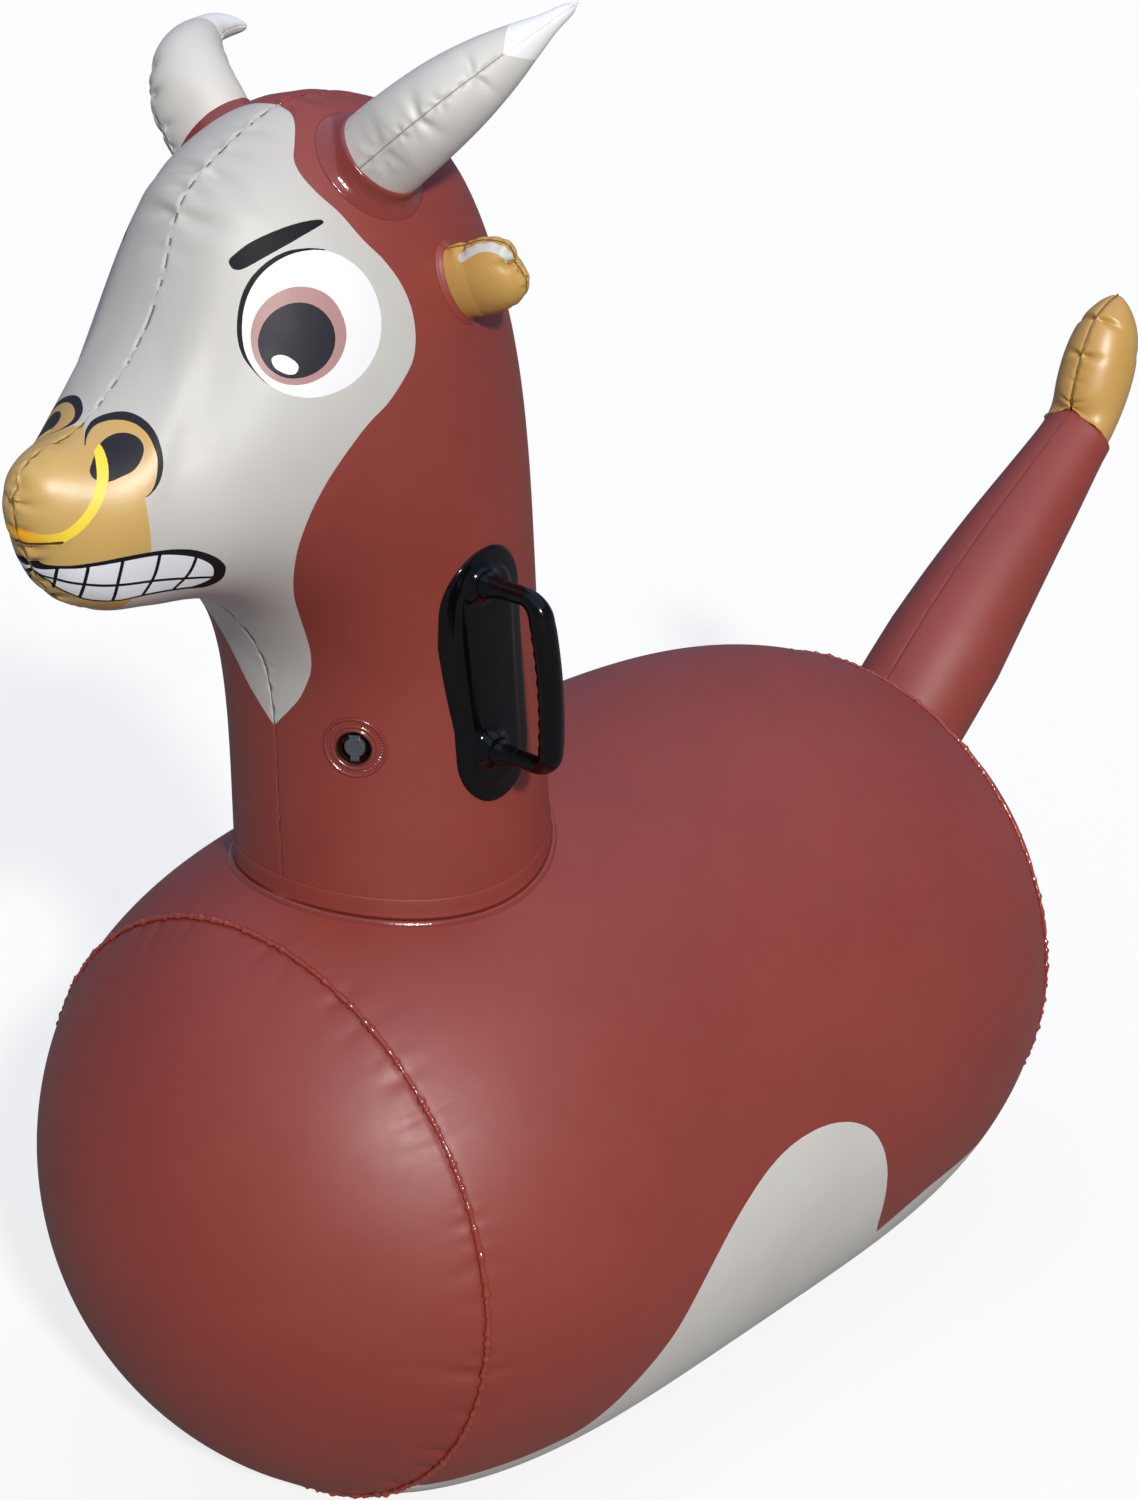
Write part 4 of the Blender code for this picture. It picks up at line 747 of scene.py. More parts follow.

# print on the head and the painted crease shade under the nose ring, as places on the panel: row of the table
# above, degrees round from the under seam
nostrilTop = [(15.19, 159.1), (14.98, 169.8), (14.78, 173.4), (14.59, 170.1), (14.38, 161), (14.21, 152.7),
              (13.98, 141.2), (13.73, 129.6), (13.46, 118.2), (13.23, 108.9), (13.04, 101.4), (12.93, 95.5),
              (12.96, 91.2), (13.13, 88.9), (13.37, 88.1), (13.52, 88.8), (13.52, 88.8)]
headPrintAndShade = dict(
    face=[(9.23, 184), (9.23, 179.3), (9.25, 172.3), (9.31, 164.4), (9.42, 156.2), (9.5, 150.1),
          (9.46, 143.1), (9.3, 135), (9.07, 127.9), (8.81, 120.8), (8.53, 115.5), (8.25, 110.1),
          (7.98, 104.4), (7.8, 99.5), (7.71, 95.1), (7.74, 90.7), (7.84, 84.9), (8.01, 80), (8.13, 73.2),
          (8.17, 65.3), (8.03, 56.7), (7.63, 47.8), (6.99, 39.7), (6.1, 31.8), (5.26, 26.2), (4.49, 22.6),
          (3.89, 20), (3.33, 17), (2.89, 12.9), (2.6, 8), (2.26, 0.1), (2.1, -4), (2.1, -4), (19, -4),
          (19, -4), (19, 184), (19, 184)],
    muzzle=[(14.8, 184), (14.87, 178.4), (15, 170.6), (15.19, 159.1), *nostrilTop, (13.36, 83.9),
            (13.12, 77.4), (12.71, 68.1), (12.2, 57.8), (11.9, 48), (11.6, 36), (11.3, 24), (11.1, 10),
            (11.0, -4), (11.0, -4), (19, -4), (19, -4), (19, 184), (19, 184)],
    nostrilRim=[*nostrilTop, (13.31, 89.4), (13.2, 92.4), (13.21, 97.5), (13.31, 104.4), (13.51, 112.7),
                (13.73, 122.3), (13.98, 133.5), (14.19, 143), (14.38, 152), (14.55, 159.9), (14.71, 165.6),
                (14.87, 167), (15.05, 163.7), (15.19, 157), (15.19, 157)],
    nostril=[(15.32, 129.9), (15.24, 137.1), (15.06, 146.2), (14.83, 149.4), (14.6, 146.6), (14.38, 140.4),
             (14.15, 132), (13.96, 124.1), (13.86, 117.7), (13.89, 113.9), (14.02, 111), (14.21, 110.3),
             (14.51, 112.2), (14.87, 114.5), (15.13, 118.5), (15.28, 123)],
    ring=[(14.92, 148.9), (14.89, 138.4), (14.88, 126.4), (14.89, 115.9), (14.93, 106.1), (15.01, 94.1),
          (15.14, 81.8), (15.32, 68.9), (15.54, 55.4), (15.78, 44.6), (16.13, 30.8), (16.37, 13.3),
          (16.46, 1.1), (16.5, -4), (16.5, -4), (17.05, -4), (17.05, -4), (17, 7), (16.92, 14.8),
          (16.65, 34.9), (16.25, 49.4), (15.88, 61), (15.6, 72.2), (15.4, 86.5), (15.28, 99.1),
          (15.21, 110.5), (15.18, 122.1), (15.16, 134.3), (15.12, 146.4), (15.12, 146.4), (15.02, 149)],
    # painted shade under the nose ring, in the crease by the seam
    creaseShadeWedge=[(16.5, -4), (16.5, -4), (16.43, 3.7), (16.18, 31.8), (15.77, 51.1), (15.53, 59.1), (15.53, 59.1),
           (15.5, 56.3), (15.83, 43.9), (16.14, 25), (16.28, 8), (16.3, -4), (16.3, -4)],
    mouth=[(15.5, -4), (15.5, -4), (15.45, 6.7), (15.42, 14.9), (15.11, 33.5), (14.51, 47.7), (13.82, 54.8),
           (13.04, 57.5), (11.97, 56.3), (10.81, 52.7), (10.18, 49.7), (9.65, 46.1), (9.23, 42.3),
           (8.99, 39.6), (8.72, 34.9), (8.69, 31.7), (8.88, 29.9), (9.21, 30.1), (9.65, 30.7), (10.4, 30.9),
           (11.12, 30.2), (11.84, 26.6), (12.46, 23.7), (13.12, 20.4), (13.82, 16.8), (14.42, 11.6),
           (14.95, 4), (15, -4), (15, -4)],
    teeth=[(15.3, -4), (15.3, -4), (15.27, 2.4), (15, 30.6), (14.4, 44.7), (13.72, 52), (12.91, 54.8),
           (11.85, 53.9), (10.9, 50.7), (10.24, 47.6), (9.77, 44.4), (9.45, 41.3), (9.25, 38.4),
           (9.12, 35.6), (9.19, 33.7), (9.4, 32), (9.65, 32), (10.4, 32.3), (11.15, 31.6), (11.89, 27.9),
           (12.53, 25.1), (13.21, 21.9), (13.92, 18.5), (14.53, 13.5), (15.08, 7.2), (15.15, -4),
           (15.15, -4)],
    brow=[(10.52, 129.4), (10.43, 126.6), (10.26, 125.2), (9.9, 125.9), (9.61, 126.3), (9.32, 126.9),
          (9.28, 127.7), (9.36, 128.9), (9.65, 131), (9.94, 132.1), (10.22, 132.2), (10.41, 131.4),
          (10.51, 130.8)],
    lid=[(9.25, 120.3), (9.25, 120.3), (9.48, 122.7), (9.73, 124.5), (9.96, 124.1), (10.16, 121.6),
         (10.28, 117.9), (10.33, 112.8), (10.31, 107.2), (10.21, 102), (10.01, 97), (9.78, 92.7),
         (9.52, 89.7), (9.52, 89.7), (9.4, 105), (9.4, 105)],
    eyeWhite=[(8.4, 101.6), (8.35, 95.5), (8.45, 90.2), (8.7, 86.8), (9.08, 86.1), (9.51, 89.1),
              (9.89, 94.8), (10.16, 102.1), (10.25, 109.8), (10.2, 116.7), (10.02, 121.5), (9.75, 123.2),
              (9.43, 121.7), (9.1, 118.2), (8.79, 113.5), (8.56, 107.9)],
    iris=[(8.81, 99.4), (8.8, 94.6), (8.92, 91.1), (9.17, 89.6), (9.49, 90.9), (9.8, 94.8), (10.02, 100.2),
          (10.11, 105.9), (10.07, 110.9), (9.91, 114.1), (9.68, 114.6), (9.42, 112.6), (9.15, 108.9),
          (8.94, 104.3)],
    pupil=[(8.94, 98.5), (8.94, 94.9), (9.04, 92.3), (9.24, 91.3), (9.5, 92.4), (9.74, 95.4), (9.92, 99.6),
           (10, 104), (9.96, 107.8), (9.84, 110.1), (9.65, 110.5), (9.43, 109), (9.22, 106.1),
           (9.04, 102.4)],
    glint=[(9.78, 98.5), (9.71, 99), (9.58, 97.9), (9.42, 95.4), (9.37, 93.8), (9.41, 92.8), (9.54, 93.6),
           (9.71, 96)])
headInksAndShade = dict(
    face=greyFilm, muzzle=muzzleInk, nostrilRim=pupilInk, nostril=pupilInk, ring=yellowInkAndSeamShade, creaseShadeWedge=creaseShadeFinish,
    mouth=blackInk, teeth=toothInk, toothLines=blackInk, brow=blackInk, lid=blackInk, eyeWhite=whiteInk,
    iris=irisInk, pupil=pupilInk, glint=whiteInk)
toothLines = dict(
    width=0.0020,
    lines=[[(15.02, 33), (14.69, 23.3), (14.2, 11.5)], [(14.25, 48), (13.82, 35.4), (13.26, 21)],
           [(13.19, 55.3), (12.74, 42.6), (12.1, 27)], [(11.69, 54), (11.3, 42.4), (11.13, 31)],
           [(10.24, 48.4), (10.04, 40.1), (10.04, 31.8)],
           [(15.14, 0), (14.6, 21), (13.88, 32.3), (13.06, 37.7), (12.08, 39.7), (11.04, 39.6),
            (10.02, 37.8), (9.1, 35.8)]])

flatNet, headRow, headDegree = panelNet(head["rows"], head["netRows"], head["netColumns"])
# rows run almost along the seam at the bridge, so its width is evened out there over a map of small cells
place = (flatNet[:, :, :2] - flatNet[:, :, :2].min((0, 1))) / head["cellSize"]
cell = (place + head["cellPad"]).astype(int)
mapSize = cell.max((0, 1)) + head["cellPad"] + 1
widths, counts = np.zeros(mapSize), np.zeros(mapSize)
np.add.at(widths, (cell[:, :, 0], cell[:, :, 1]), flatNet[:, :, 2] ** 2)
np.add.at(counts, (cell[:, :, 0], cell[:, :, 1]), 1)
widths, counts = widths / np.maximum(counts, 1), (counts > 0) * 1.0
bell = np.exp(-(np.arange(-head["bellHalf"], head["bellHalf"] + 1) / head["bridgeBlur"]) ** 2)
for axis in (0, 1):
    widths = np.apply_along_axis(np.convolve, axis, widths, bell, "same")
    counts = np.apply_along_axis(np.convolve, axis, counts, bell, "same")
place = (place + (head["cellPad"] - 0.5)).reshape(-1, 2).T  # cells are read at their middles
even = np.sqrt(readNet(widths, *place) / readNet(counts, *place)).reshape(cell.shape[:2])
share = np.clip(1 - ((headRow - head["bridge"][0]) / head["bridge"][1]) ** 2, 0, 1)[:, None] ** 2
inner = np.clip((flatNet[:, :, 2] - head["bridgeInner"][0]) / head["bridgeInner"][1], 0, 1)
share = share * inner * inner * (3 - 2 * inner)
flatNet[:, :, 2] += share * (even - flatNet[:, :, 2])
plainHead = np.stack([flatNet[:, :, 2], flatNet[:, :, 0], flatNet[:, :, 1]], -1)
muzzleShare = np.clip((headRow - head["muzzleEase"][0]) / head["muzzleEase"][1], 0, 1)[:, None]
plainHead[:, :, 1] += head["muzzleBack"] * muzzleShare ** 2 * (3 - 2 * muzzleShare)
foot = np.sqrt((barrelRadius(plainHead[:, :, 1]) + head["footGap"]) ** 2 - plainHead[:, :, 0] ** 2)
rise = np.clip(headRow, 0, 1)[:, None]
saddle = foot * (1 - rise) + head["saddleTop"] * rise  # the foot sits on the barrel
plainHead[:, :, 2] = np.where(rise < 1, saddle, plainHead[:, :, 2])
plainHead[:, :, 2] += axisHeight
headTree = treeOf(plainHead, plainHead * (-1, 1, 1))


def stripe(line, width):
    # a thin closed outline along an open line on the panel
    t = np.linspace(0, len(line) - 1, 8 * (len(line) - 1) + 1)
    path = netPlace(smoothRows(line, t), headRow, headDegree)
    down, over = np.gradient(plainHead, axis=(0, 1))
    down, over = (np.stack([readNet(way[:, :, k], *path.T) for k in range(3)], 1) for way in (down, over))
    ahead = np.gradient(path, axis=0)
    run = down * ahead[:, :1] + over * ahead[:, 1:]
    side = np.stack([-(over * run).sum(1), (down * run).sum(1)], 1)  # square to the line on the skin
    reach = np.linalg.norm(down * side[:, :1] + over * side[:, 1:], axis=1)
    offset = side * (width / 2 / reach)[:, None]
    return np.concatenate([path + offset, (path - offset)[::-1]])


printAndShadeLines, printAndShadeInks = [], [brownFilm]
for name, points in headPrintAndShade.items():
    printAndShadeLines.append(netPlace(smoothLoop(points), headRow, headDegree))
    printAndShadeInks.append(headInksAndShade[name])
    if name == "teeth":
        for line in toothLines["lines"]:
            printAndShadeLines.append(stripe(line, toothLines["width"]))
            printAndShadeInks.append(headInksAndShade["toothLines"])

# the valve's place and sizes, from here on for its hole in the neck
valve = dict(
    place=Vector((0.055748, -0.264844, 0.5645)), angle=math.radians(33), holeRadius=0.0112,
    recessRadius=0.0102, recessDepth=0.0125, stemRadius=0.0060, stemBore=0.0038, stemTop=-0.0022,
    stemLength=0.0250, plugThick=0.0014, strapHinge=0.0078, tabLength=0.0092, tabHalf=0.0040,
    strapThick=0.0010, strapWaist=(0.28, 0.0056, 0.0011), tabFrom=(0.0048, 0.0028), tabRound=0.75,
    tabSwell=0.35, strapSoft=0.00022, rayFrom=0.1, holePoints=40, flapRadius=0.0056, flapThick=0.0008)
valveOut = Vector((math.sin(valve["angle"]), -math.cos(valve["angle"]), 0.0))
valveSide = Vector((0.0, 0.0, 1.0)).cross(valveOut)
valveUp = Vector((0.0, 0.0, 1.0))
valveFrame = Matrix.Translation(valve["place"]) @ Matrix((valveSide, valveUp, valveOut)).transposed().to_4x4()

# folds and pinches of the under seam (False) and the top seam (True)
marks = {edge: seamFolds(head["seamLength"], head) for edge in (False, True)}
muzzleMarks = {edge: foldMarks(head["seamLength"], *head["muzzleFolds" if edge else "chinFolds"])
               for edge in (False, True)}
seamRun = {edge: seamDistance(plainHead, edge)[0][:, -1 if edge else 0] for edge in (False, True)}
pinch = {edge: dashes(seamRun[edge], *head["pinch"]) for edge in (False, True)}
browMarks = np.array(head["browFolds"])
browMarks[:, 0] = np.interp(browMarks[:, 0], headRow, seamRun[True])


def onValveRing(angle, radius):
    # the spot of the neck's skin on a ring round the valve
    spoke = (valveSide * math.cos(angle) + valveUp * math.sin(angle)) * radius
    return headTree.ray_cast(valve["place"] + valveOut * valve["rayFrom"] + spoke, -valveOut)[0]


holePlaces = []
for angle in np.linspace(0, math.tau, valve["holePoints"], endpoint=False):
    hit = onValveRing(angle, valve["holeRadius"])
    near = np.argmin(((plainHead - np.array(hit)) ** 2).sum(2))
    i, j = np.unravel_index(near, plainHead.shape[:2])
    # one step of the local slope gives the fraction of a row and a column
    down = (plainHead[i + 1, j] - plainHead[i - 1, j]) / 2
    over = (plainHead[i, j + 1] - plainHead[i, j - 1]) / 2
    share = np.linalg.lstsq(np.stack([down, over], 1), np.array(hit) - plainHead[i, j], rcond=None)[0]
    holePlaces.append((i + share[0], j + share[1]))

# the top seam wanders off the middle and jogs from pinch to pinch
seamAway = seamDistance(plainHead, True)[1]
jogPlaces = np.arange(0, head["seamLength"], head["jogEvery"])
jogs = np.interp(seamRun[True], jogPlaces, chance.uniform(-1, 1, len(jogPlaces)))
(jogStart, jogRise), (jogEnd, jogFall) = head["jogFrom"], head["jogTo"]
jogShare = head["seamJog"] * np.clip((headRow - jogStart) / jogRise, 0, 1)
jogs *= jogShare * np.clip((jogEnd - headRow) / jogFall, 0, 1)
wander, window = np.interp(headRow, *head["seamWander"]), head["wanderRows"]
wander = np.convolve(np.pad(wander, window // 2, "edge"), np.ones(window) / window, "valid")
seamShift = wander[:, None] * np.exp(-(seamAway / head["wanderReach"]) ** 2)
seamShift = seamShift + jogs[:, None] * np.exp(-(seamAway / head["jogReach"]) ** 2)
moved = np.argwhere(np.abs(seamShift) > head["leastShift"])

for side, sign in (("left", 1), ("right", -1)):
    net = plainHead.copy()
    net[:, :, 0] += sign * seamShift
    for i, j in moved:
        net[i, j] = headTree.find_nearest(Vector(net[i, j]))[0]
    seamPlace = net[:, -1, :1].copy()
    normal = netNormals(net)
    depth = np.zeros(net.shape[:2])
    for last in (False, True):
        along, away = seamDistance(plainHead, last)
        wrinkle = foldDepth(along, away, marks[last])
        muzzle = foldDepth(along, away, muzzleMarks[last])
        # neck and bridge lie flatter, the muzzle has its own folds
        rowThere = np.interp(along, seamRun[last], headRow)
        muzzleRow = head["muzzleFrom" if last else "chinFrom"]
        onMuzzle = np.clip((rowThere - muzzleRow) / head["muzzleFade"], 0, 1)
        calm = np.interp(rowThere, *head["topCalm" if last else "underCalm"])
        depth += wrinkle * calm * (1 - onMuzzle) + muzzle * onMuzzle * np.exp(-away / head["muzzleReach"])
        if last:
            depth += foldDepth(along, away, browMarks)
        pastNeck = np.clip((headRow - head["neckRows"][0]) / head["neckRows"][1], 0, 1)[:, None]
        deep = head["neckGroove"] + (head["groove"] - head["neckGroove"]) * pastNeck
        deep = deep * (head["grooveLeast"] + (1 - head["grooveLeast"]) * pinch[last])
        depth += deep * np.exp(-(away / head["grooveWidth"]) ** 2)
    net -= normal * depth[:, :, None]
    lean = seamPlace * np.clip(headDegree / 45 - 3, 0, 1)  # from 135 degrees up to the top seam
    net[:, :, 0] = np.maximum(net[:, :, 0] - lean, head["seamGap"]) + lean
    net = net * (sign, 1, 1)
    lines, inks = list(printAndShadeLines), list(printAndShadeInks)
    if side == "left":
        lines.append(np.array(holePlaces))
        inks.append(None)
    piece = sheetPiece(net, lines, (), wall=0.0)
    if side == "left":
        # opens the hole that the valve sits in
        bpy.ops.object.mode_set(mode="EDIT")
        bpy.ops.mesh.select_all(action="DESELECT")
        bpy.ops.object.mode_set(mode="OBJECT")
        for face in piece.data.polygons:
            face.select = face.material_index == len(lines)
        bpy.ops.object.mode_set(mode="EDIT")
        bpy.ops.mesh.select_mode(type="FACE")
        bpy.ops.mesh.delete(type="FACE")
        bpy.ops.mesh.select_mode(type="VERT")
        bpy.ops.object.mode_set(mode="OBJECT")
    thicken(piece, filmWall)
    for ink in inks:
        piece.data.materials.append(ink or brownFilm)
    settle(piece, side + "HeadSkin", "bull", "brown_pvc", "head_panel_" + side)
    if side == "left":
        gap = (head["seamGap"], 0, 0)
        seams = {"under": net[:, 0] - gap, "top": net[:, -1] - gap}
# the seam's bead is brown on the brown film; on the grey and ochre prints it is darker than the print, as
# painted seam shade
seamRuns = [("under", 0, 2.26, beadFilm), ("under", 2.26, 11.0, greySeamShade), ("under", 11.0, 19, ochreSeamShade),
            ("top", 0, 9.23, beadFilm), ("top", 9.23, 14.8, greySeamShade), ("top", 14.8, 19, ochreSeamShade)]
seamParts = []
for edge, first, last, finish in seamRuns:
    chosen = (headRow >= first) & (headRow <= last)
    line, pinched = seams[edge][chosen], pinch[edge == "top"][chosen, 0]
    swell = head["beadSwell"][0] + head["beadSwell"][1] * pinched
    seamParts.append(weldBead(line, head["beadRadius"], False, finish, head["beadLump"], 8, swell))
    if edge == "top" and finish == greySeamShade:
        paintBead(seamParts[-1], line, pinched < 0.5, greyFilm)  # painted shade: dark in the pinches only, the print's grey between them
joinPieces(*seamParts)
settle(seamParts[0], "headSeam", "bull", "brown_pvc", "head_seam_weld")
print("head: two printed panels and their seam")


def wrinkleNet(net, folds, groove, grooveWidth, pinch=1.0, least=0.25):
    # presses folds and the seam's groove into a panel, along its first and last column
    normal = netNormals(net)
    depth = np.zeros(net.shape[:2])
    for last, marks in folds.items():
        along, away = seamDistance(net, last)
        depth += foldDepth(along, away, marks)
        depth += groove * (least + (1 - least) * pinch) * np.exp(-(away / grooveWidth) ** 2)
    return net - normal * depth[:, :, None]


def footCollar(name, edge, tree, way, profile, finish, node, turnOut=0.008):
    # a flange welded round the foot of a horn, an ear or the tail: it lies on the skin and turns up
    middle = edge.mean(0)
    rows = []
    for spot in edge:
        hit, normal = tree.find_nearest(Vector(spot))[:2]
        if normal.dot(way) < 0:
            normal = -normal
        out = Vector(spot - middle)
        out = (out - normal * out.dot(normal)).normalized()
        row = []
        for reach, rise in profile:
            base, up = tree.find_nearest(hit + out * reach)[:2]
            up = up if up.dot(way) > 0 else -up
            lean = clamp(reach / turnOut)
            row.append(base + (up * lean + way * (1 - lean)).normalized() * rise)
        rows.append(row + row[:1])
    piece = sheetPiece(np.array(rows + rows[:1]), (), (finish,), wall=0.0)
    settle(piece, name, "bull", "brown_pvc", node)


# neck's foot: a lip on the neck's wall, a groove, and the soft roll on the barrel
neckFoot = dict(
    stations=240, roll=(6.5, 14.5),
    profile=[(0.0002, 0.0152), (0.00045, 0.0149), (0.00055, 0.0140), (0.00055, 0.0100), (0.00055, 0.0060),
             (0.0006, 0.0034), (0.0009, 0.0020), (0.0013, 0.0017), (0.0019, 0.0021), (0.0027, 0.0024),
             (0.0034, 0.0021), (0.0041, 0.0012), (0.0044, 0.0004), (0.0045, -0.0004), (0.0040, -0.0012),
             (0.0, -0.0012), (-0.0004, 0.0020), (-0.0004, 0.0110)])
footLoop = np.concatenate([plainHead[0, :-1], plainHead[0, ::-1][:-1] * (-1, 1, 1)])[:, :2]
footLoop = np.vstack([footLoop, footLoop[:1]])
step = np.concatenate([[0], np.cumsum(np.linalg.norm(np.diff(footLoop, axis=0), axis=1))])
spread = np.linspace(0, step[-1], neckFoot["stations"] + 1)
loop = np.stack([np.interp(spread, step, footLoop[:, k]) for k in range(2)], 1)
ahead = np.gradient(np.vstack([loop[-2:-1], loop, loop[1:2]]), axis=0)[1:-1]
out = np.stack([ahead[:, 1], -ahead[:, 0]], 1) / np.linalg.norm(ahead, axis=1)[:, None]
if (out * (loop - loop.mean(0))).sum() < 0:
    out = -out
profile = np.array(neckFoot["profile"] + neckFoot["profile"][:1])
spot = loop[:, None, :] + out[:, None, :] * profile[None, :, :1]
ground = np.sqrt(barrelRadius(spot[:, :, 1]) ** 2 - spot[:, :, 0] ** 2) + axisHeight
net = np.concatenate([spot, (ground + profile[None, :, 1])[:, :, None]], 2)
rollFrom, rollTo = neckFoot["roll"]
rollLine = np.array([(-1.0, rollFrom), (len(net), rollFrom), (len(net), rollTo), (-1.0, rollTo)])
piece = sheetPiece(net, [rollLine], (brownFilm, weldFilm), wall=0.0)
settle(piece, "neckCollar", "bull", "brown_pvc", "neck_collar")
print("neck: foot collar")


# horns: two grey panels with a white printed tip, standing in a brown flange
horn = dict(
    base=dict(left=(0.060, -0.241, 0.689), right=(0.072, -0.241, 0.678)),
    radius=dict(left=0.0322, right=0.0335), taper=dict(left=1.6, right=1.3),
    tipRadius=dict(left=0.0050, right=0.0116), sleeve=dict(left=1.0, right=1.08),
    seamSide=(0.0, -0.95, -0.30), middle=dict(left=(0.1095, -0.223, 0.733), right=(0.1075, -0.2265, 0.721)),
    tip=dict(left=(0.132, -0.149, 0.774), right=(0.133, -0.1655, 0.730)),
    steps=(0.0, 0.12, 0.26, 0.42, 0.58, 0.74, 0.87, 0.95, 1.0), netRows=110, netColumns=44,
    tipSeam=dict(left=4.4, right=4.0), tipMiddle=dict(left=4.95, right=4.6), groove=0.0011,
    grooveWidth=0.0014, folds=(0.015, 0.0026, 0.010, 0.0024), nips=(0.008, 0.0017, 0.008, 0.0013),
    foldsEnd=0.64, seamSlack=1.15, pinch=(0.009, 0.006), landRow=14, beadRadius=0.0004, beadLump=0.3,
    flange=[(-0.0010, 0.0112), (0.0005, 0.0116), (0.0010, 0.0110), (0.0014, 0.0084), (0.0022, 0.0054),
            (0.0040, 0.0028), (0.0066, 0.0013), (0.0094, 0.0007), (0.0104, 0.0003), (0.0105, -0.0006),
            (0.0050, -0.0010), (-0.0010, -0.0010)])
for side, flip in (("left", Vector((1, 1, 1))), ("right", Vector((-1, 1, 1)))):
    lift = Vector((0, 0, axisHeight))
    base, middle, tip = (Vector(horn[k][side]) * flip + lift for k in ("base", "middle", "tip"))
    length = (tip - base).length
    way = (tip - base) / length
    seamSide = Vector(horn["seamSide"])
    across = (seamSide - way * seamSide.dot(way)).normalized()
    up = way.cross(across)
    up = -up if up.z < 0 else up
    bow = middle - (base + tip) / 2
    table = []
    for s in horn["steps"]:
        radius = max(horn["radius"][side] * (1 - s ** horn["taper"][side]), horn["tipRadius"][side])
        radius = radius if s < 1.0 else 0.0
        centre = 4 * s * (1 - s) * bow.dot(across)
        table.append((s * length, centre + radius, s * length, centre - radius, 1.0))
    flat, hornRow, hornDegree = panelNet(table, horn["netRows"], horn["netColumns"])
    seamLength = length * horn["seamSlack"]
    folds = {last: seamFolds(seamLength, horn) for last in (False, True)}
    folds = {last: marks[marks[:, 0] < horn["foldsEnd"] * seamLength] for last, marks in folds.items()}
    turn = np.linspace(-4, 184, 48)  # the white print runs out over the seams and the tip
    tipFrom, tipTo = horn["tipSeam"][side], horn["tipMiddle"][side]
    tipRow = tipFrom + (tipTo - tipFrom) * np.clip(np.sin(np.radians(turn)), 0, 1)
    tipLine = np.vstack([np.stack([tipRow, turn], 1), [(9, 184), (9, -4)]])
    tipPlace = netPlace(tipLine, hornRow, hornDegree)
    run = np.linspace(0, seamLength, len(hornRow))
    pinchHorn = dashes(run, *horn["pinch"]) * (hornRow < tipFrom)[:, None]
    sheets, land = [], horn["landRow"]
    for panel, sign in (("upper", 1), ("lower", -1)):
        s = flat[:, :, 0] / length
        net = np.array(base) + flat[:, :, :1] * np.array(way) + flat[:, :, 1:2] * np.array(across)
        net = net + (sign * flat[:, :, 2] + 4 * s * (1 - s) * bow.dot(up))[:, :, None] * np.array(up)
        landOn(headTree, net, net[0].mean(0) - net[land].mean(0), land)
        net = wrinkleNet(net, folds, horn["groove"], horn["grooveWidth"], pinchHorn)
        sheets.append(net)
        piece = sheetPiece(net, [tipPlace], (paleFilmAndLitBelly, whiteInk))
        settle(piece, f"{side}Horn{panel.title()}", "bull", "light_grey_pvc", f"{side}_horn_{panel}_panel")
    line, lineRow = pairSeam(sheets), np.concatenate([hornRow[1:], hornRow[-2:0:-1]])
    # painted shade: the seam's line is a darker grey than the horn's film
    piece = weldBead(line, horn["beadRadius"], False, hornSeamShade, horn["beadLump"], 8)
    paintBead(piece, line, lineRow > tipFrom, whiteInk)
    settle(piece, side + "HornSeam", "bull", "light_grey_pvc", side + "_horn_seam_weld")
    top = sheets[0][land].mean(0) + sheets[1][land].mean(0)
    stand = Vector(top - sheets[0][0].mean(0) - sheets[1][0].mean(0)).normalized()
    sleeve = [(reach, max(rise, rise * horn["sleeve"][side])) for reach, rise in horn["flange"]]
    footCollar(side + "HornFlange", pairFoot(sheets), headTree, stand, sleeve, weldFilm,
               side + "_horn_collar")
print("horns: panels, seams and flanges")


# ears: a small puffed lobe with deep folds and a white printed band
ear = dict(
    base=(0.0923, -0.2043, 0.613), out=(0.93, 0.24, 0.29), up=(-0.19, -0.33, 0.93),
    table=[(0.000, -0.0195, 0.000, 0.0250, 0.60), (0.011, -0.0195, 0.012, 0.0262, 0.69),
           (0.023, -0.0185, 0.027, 0.0270, 0.79), (0.032, -0.0165, 0.0395, 0.0226, 0.85),
           (0.0385, -0.0125, 0.0430, 0.0165, 0.85), (0.0430, -0.0065, 0.0420, 0.0080, 0.85),
           (0.0445, -0.0010, 0.0445, -0.0010, 0.85)], netRows=72, netColumns=56, groove=0.0012,
    grooveWidth=0.0018, folds=(0.0085, 0.0018, 0.008, 0.0010), seamLength=0.075, landRow=16,
    beadRadius=0.0005, beadLump=0.3,
    creases=[(0.0565, 0.0022, 0.011, 0.0046, -0.25), (0.0130, 0.0020, 0.008, 0.0030, 0.2)],
    band=[(0.99, 154.8), (1.48, 160.7), (1.84, 163.3), (2.29, 167.8), (2.75, 165.7), (3.57, 157.9),
          (4.4, 154.8), (3.45, 121.6), (3.0, 135.7), (2.54, 144.0), (2.03, 144.0), (1.6, 140.0),
          (1.06, 135.7)],
    flange=[(-0.0008, 0.0026), (0.0006, 0.0028), (0.0010, 0.0022), (0.0014, 0.0015), (0.0022, 0.0010),
            (0.0031, 0.0007), (0.0036, 0.0003), (0.0037, -0.0006), (0.0020, -0.0010), (-0.0008, -0.0010)])
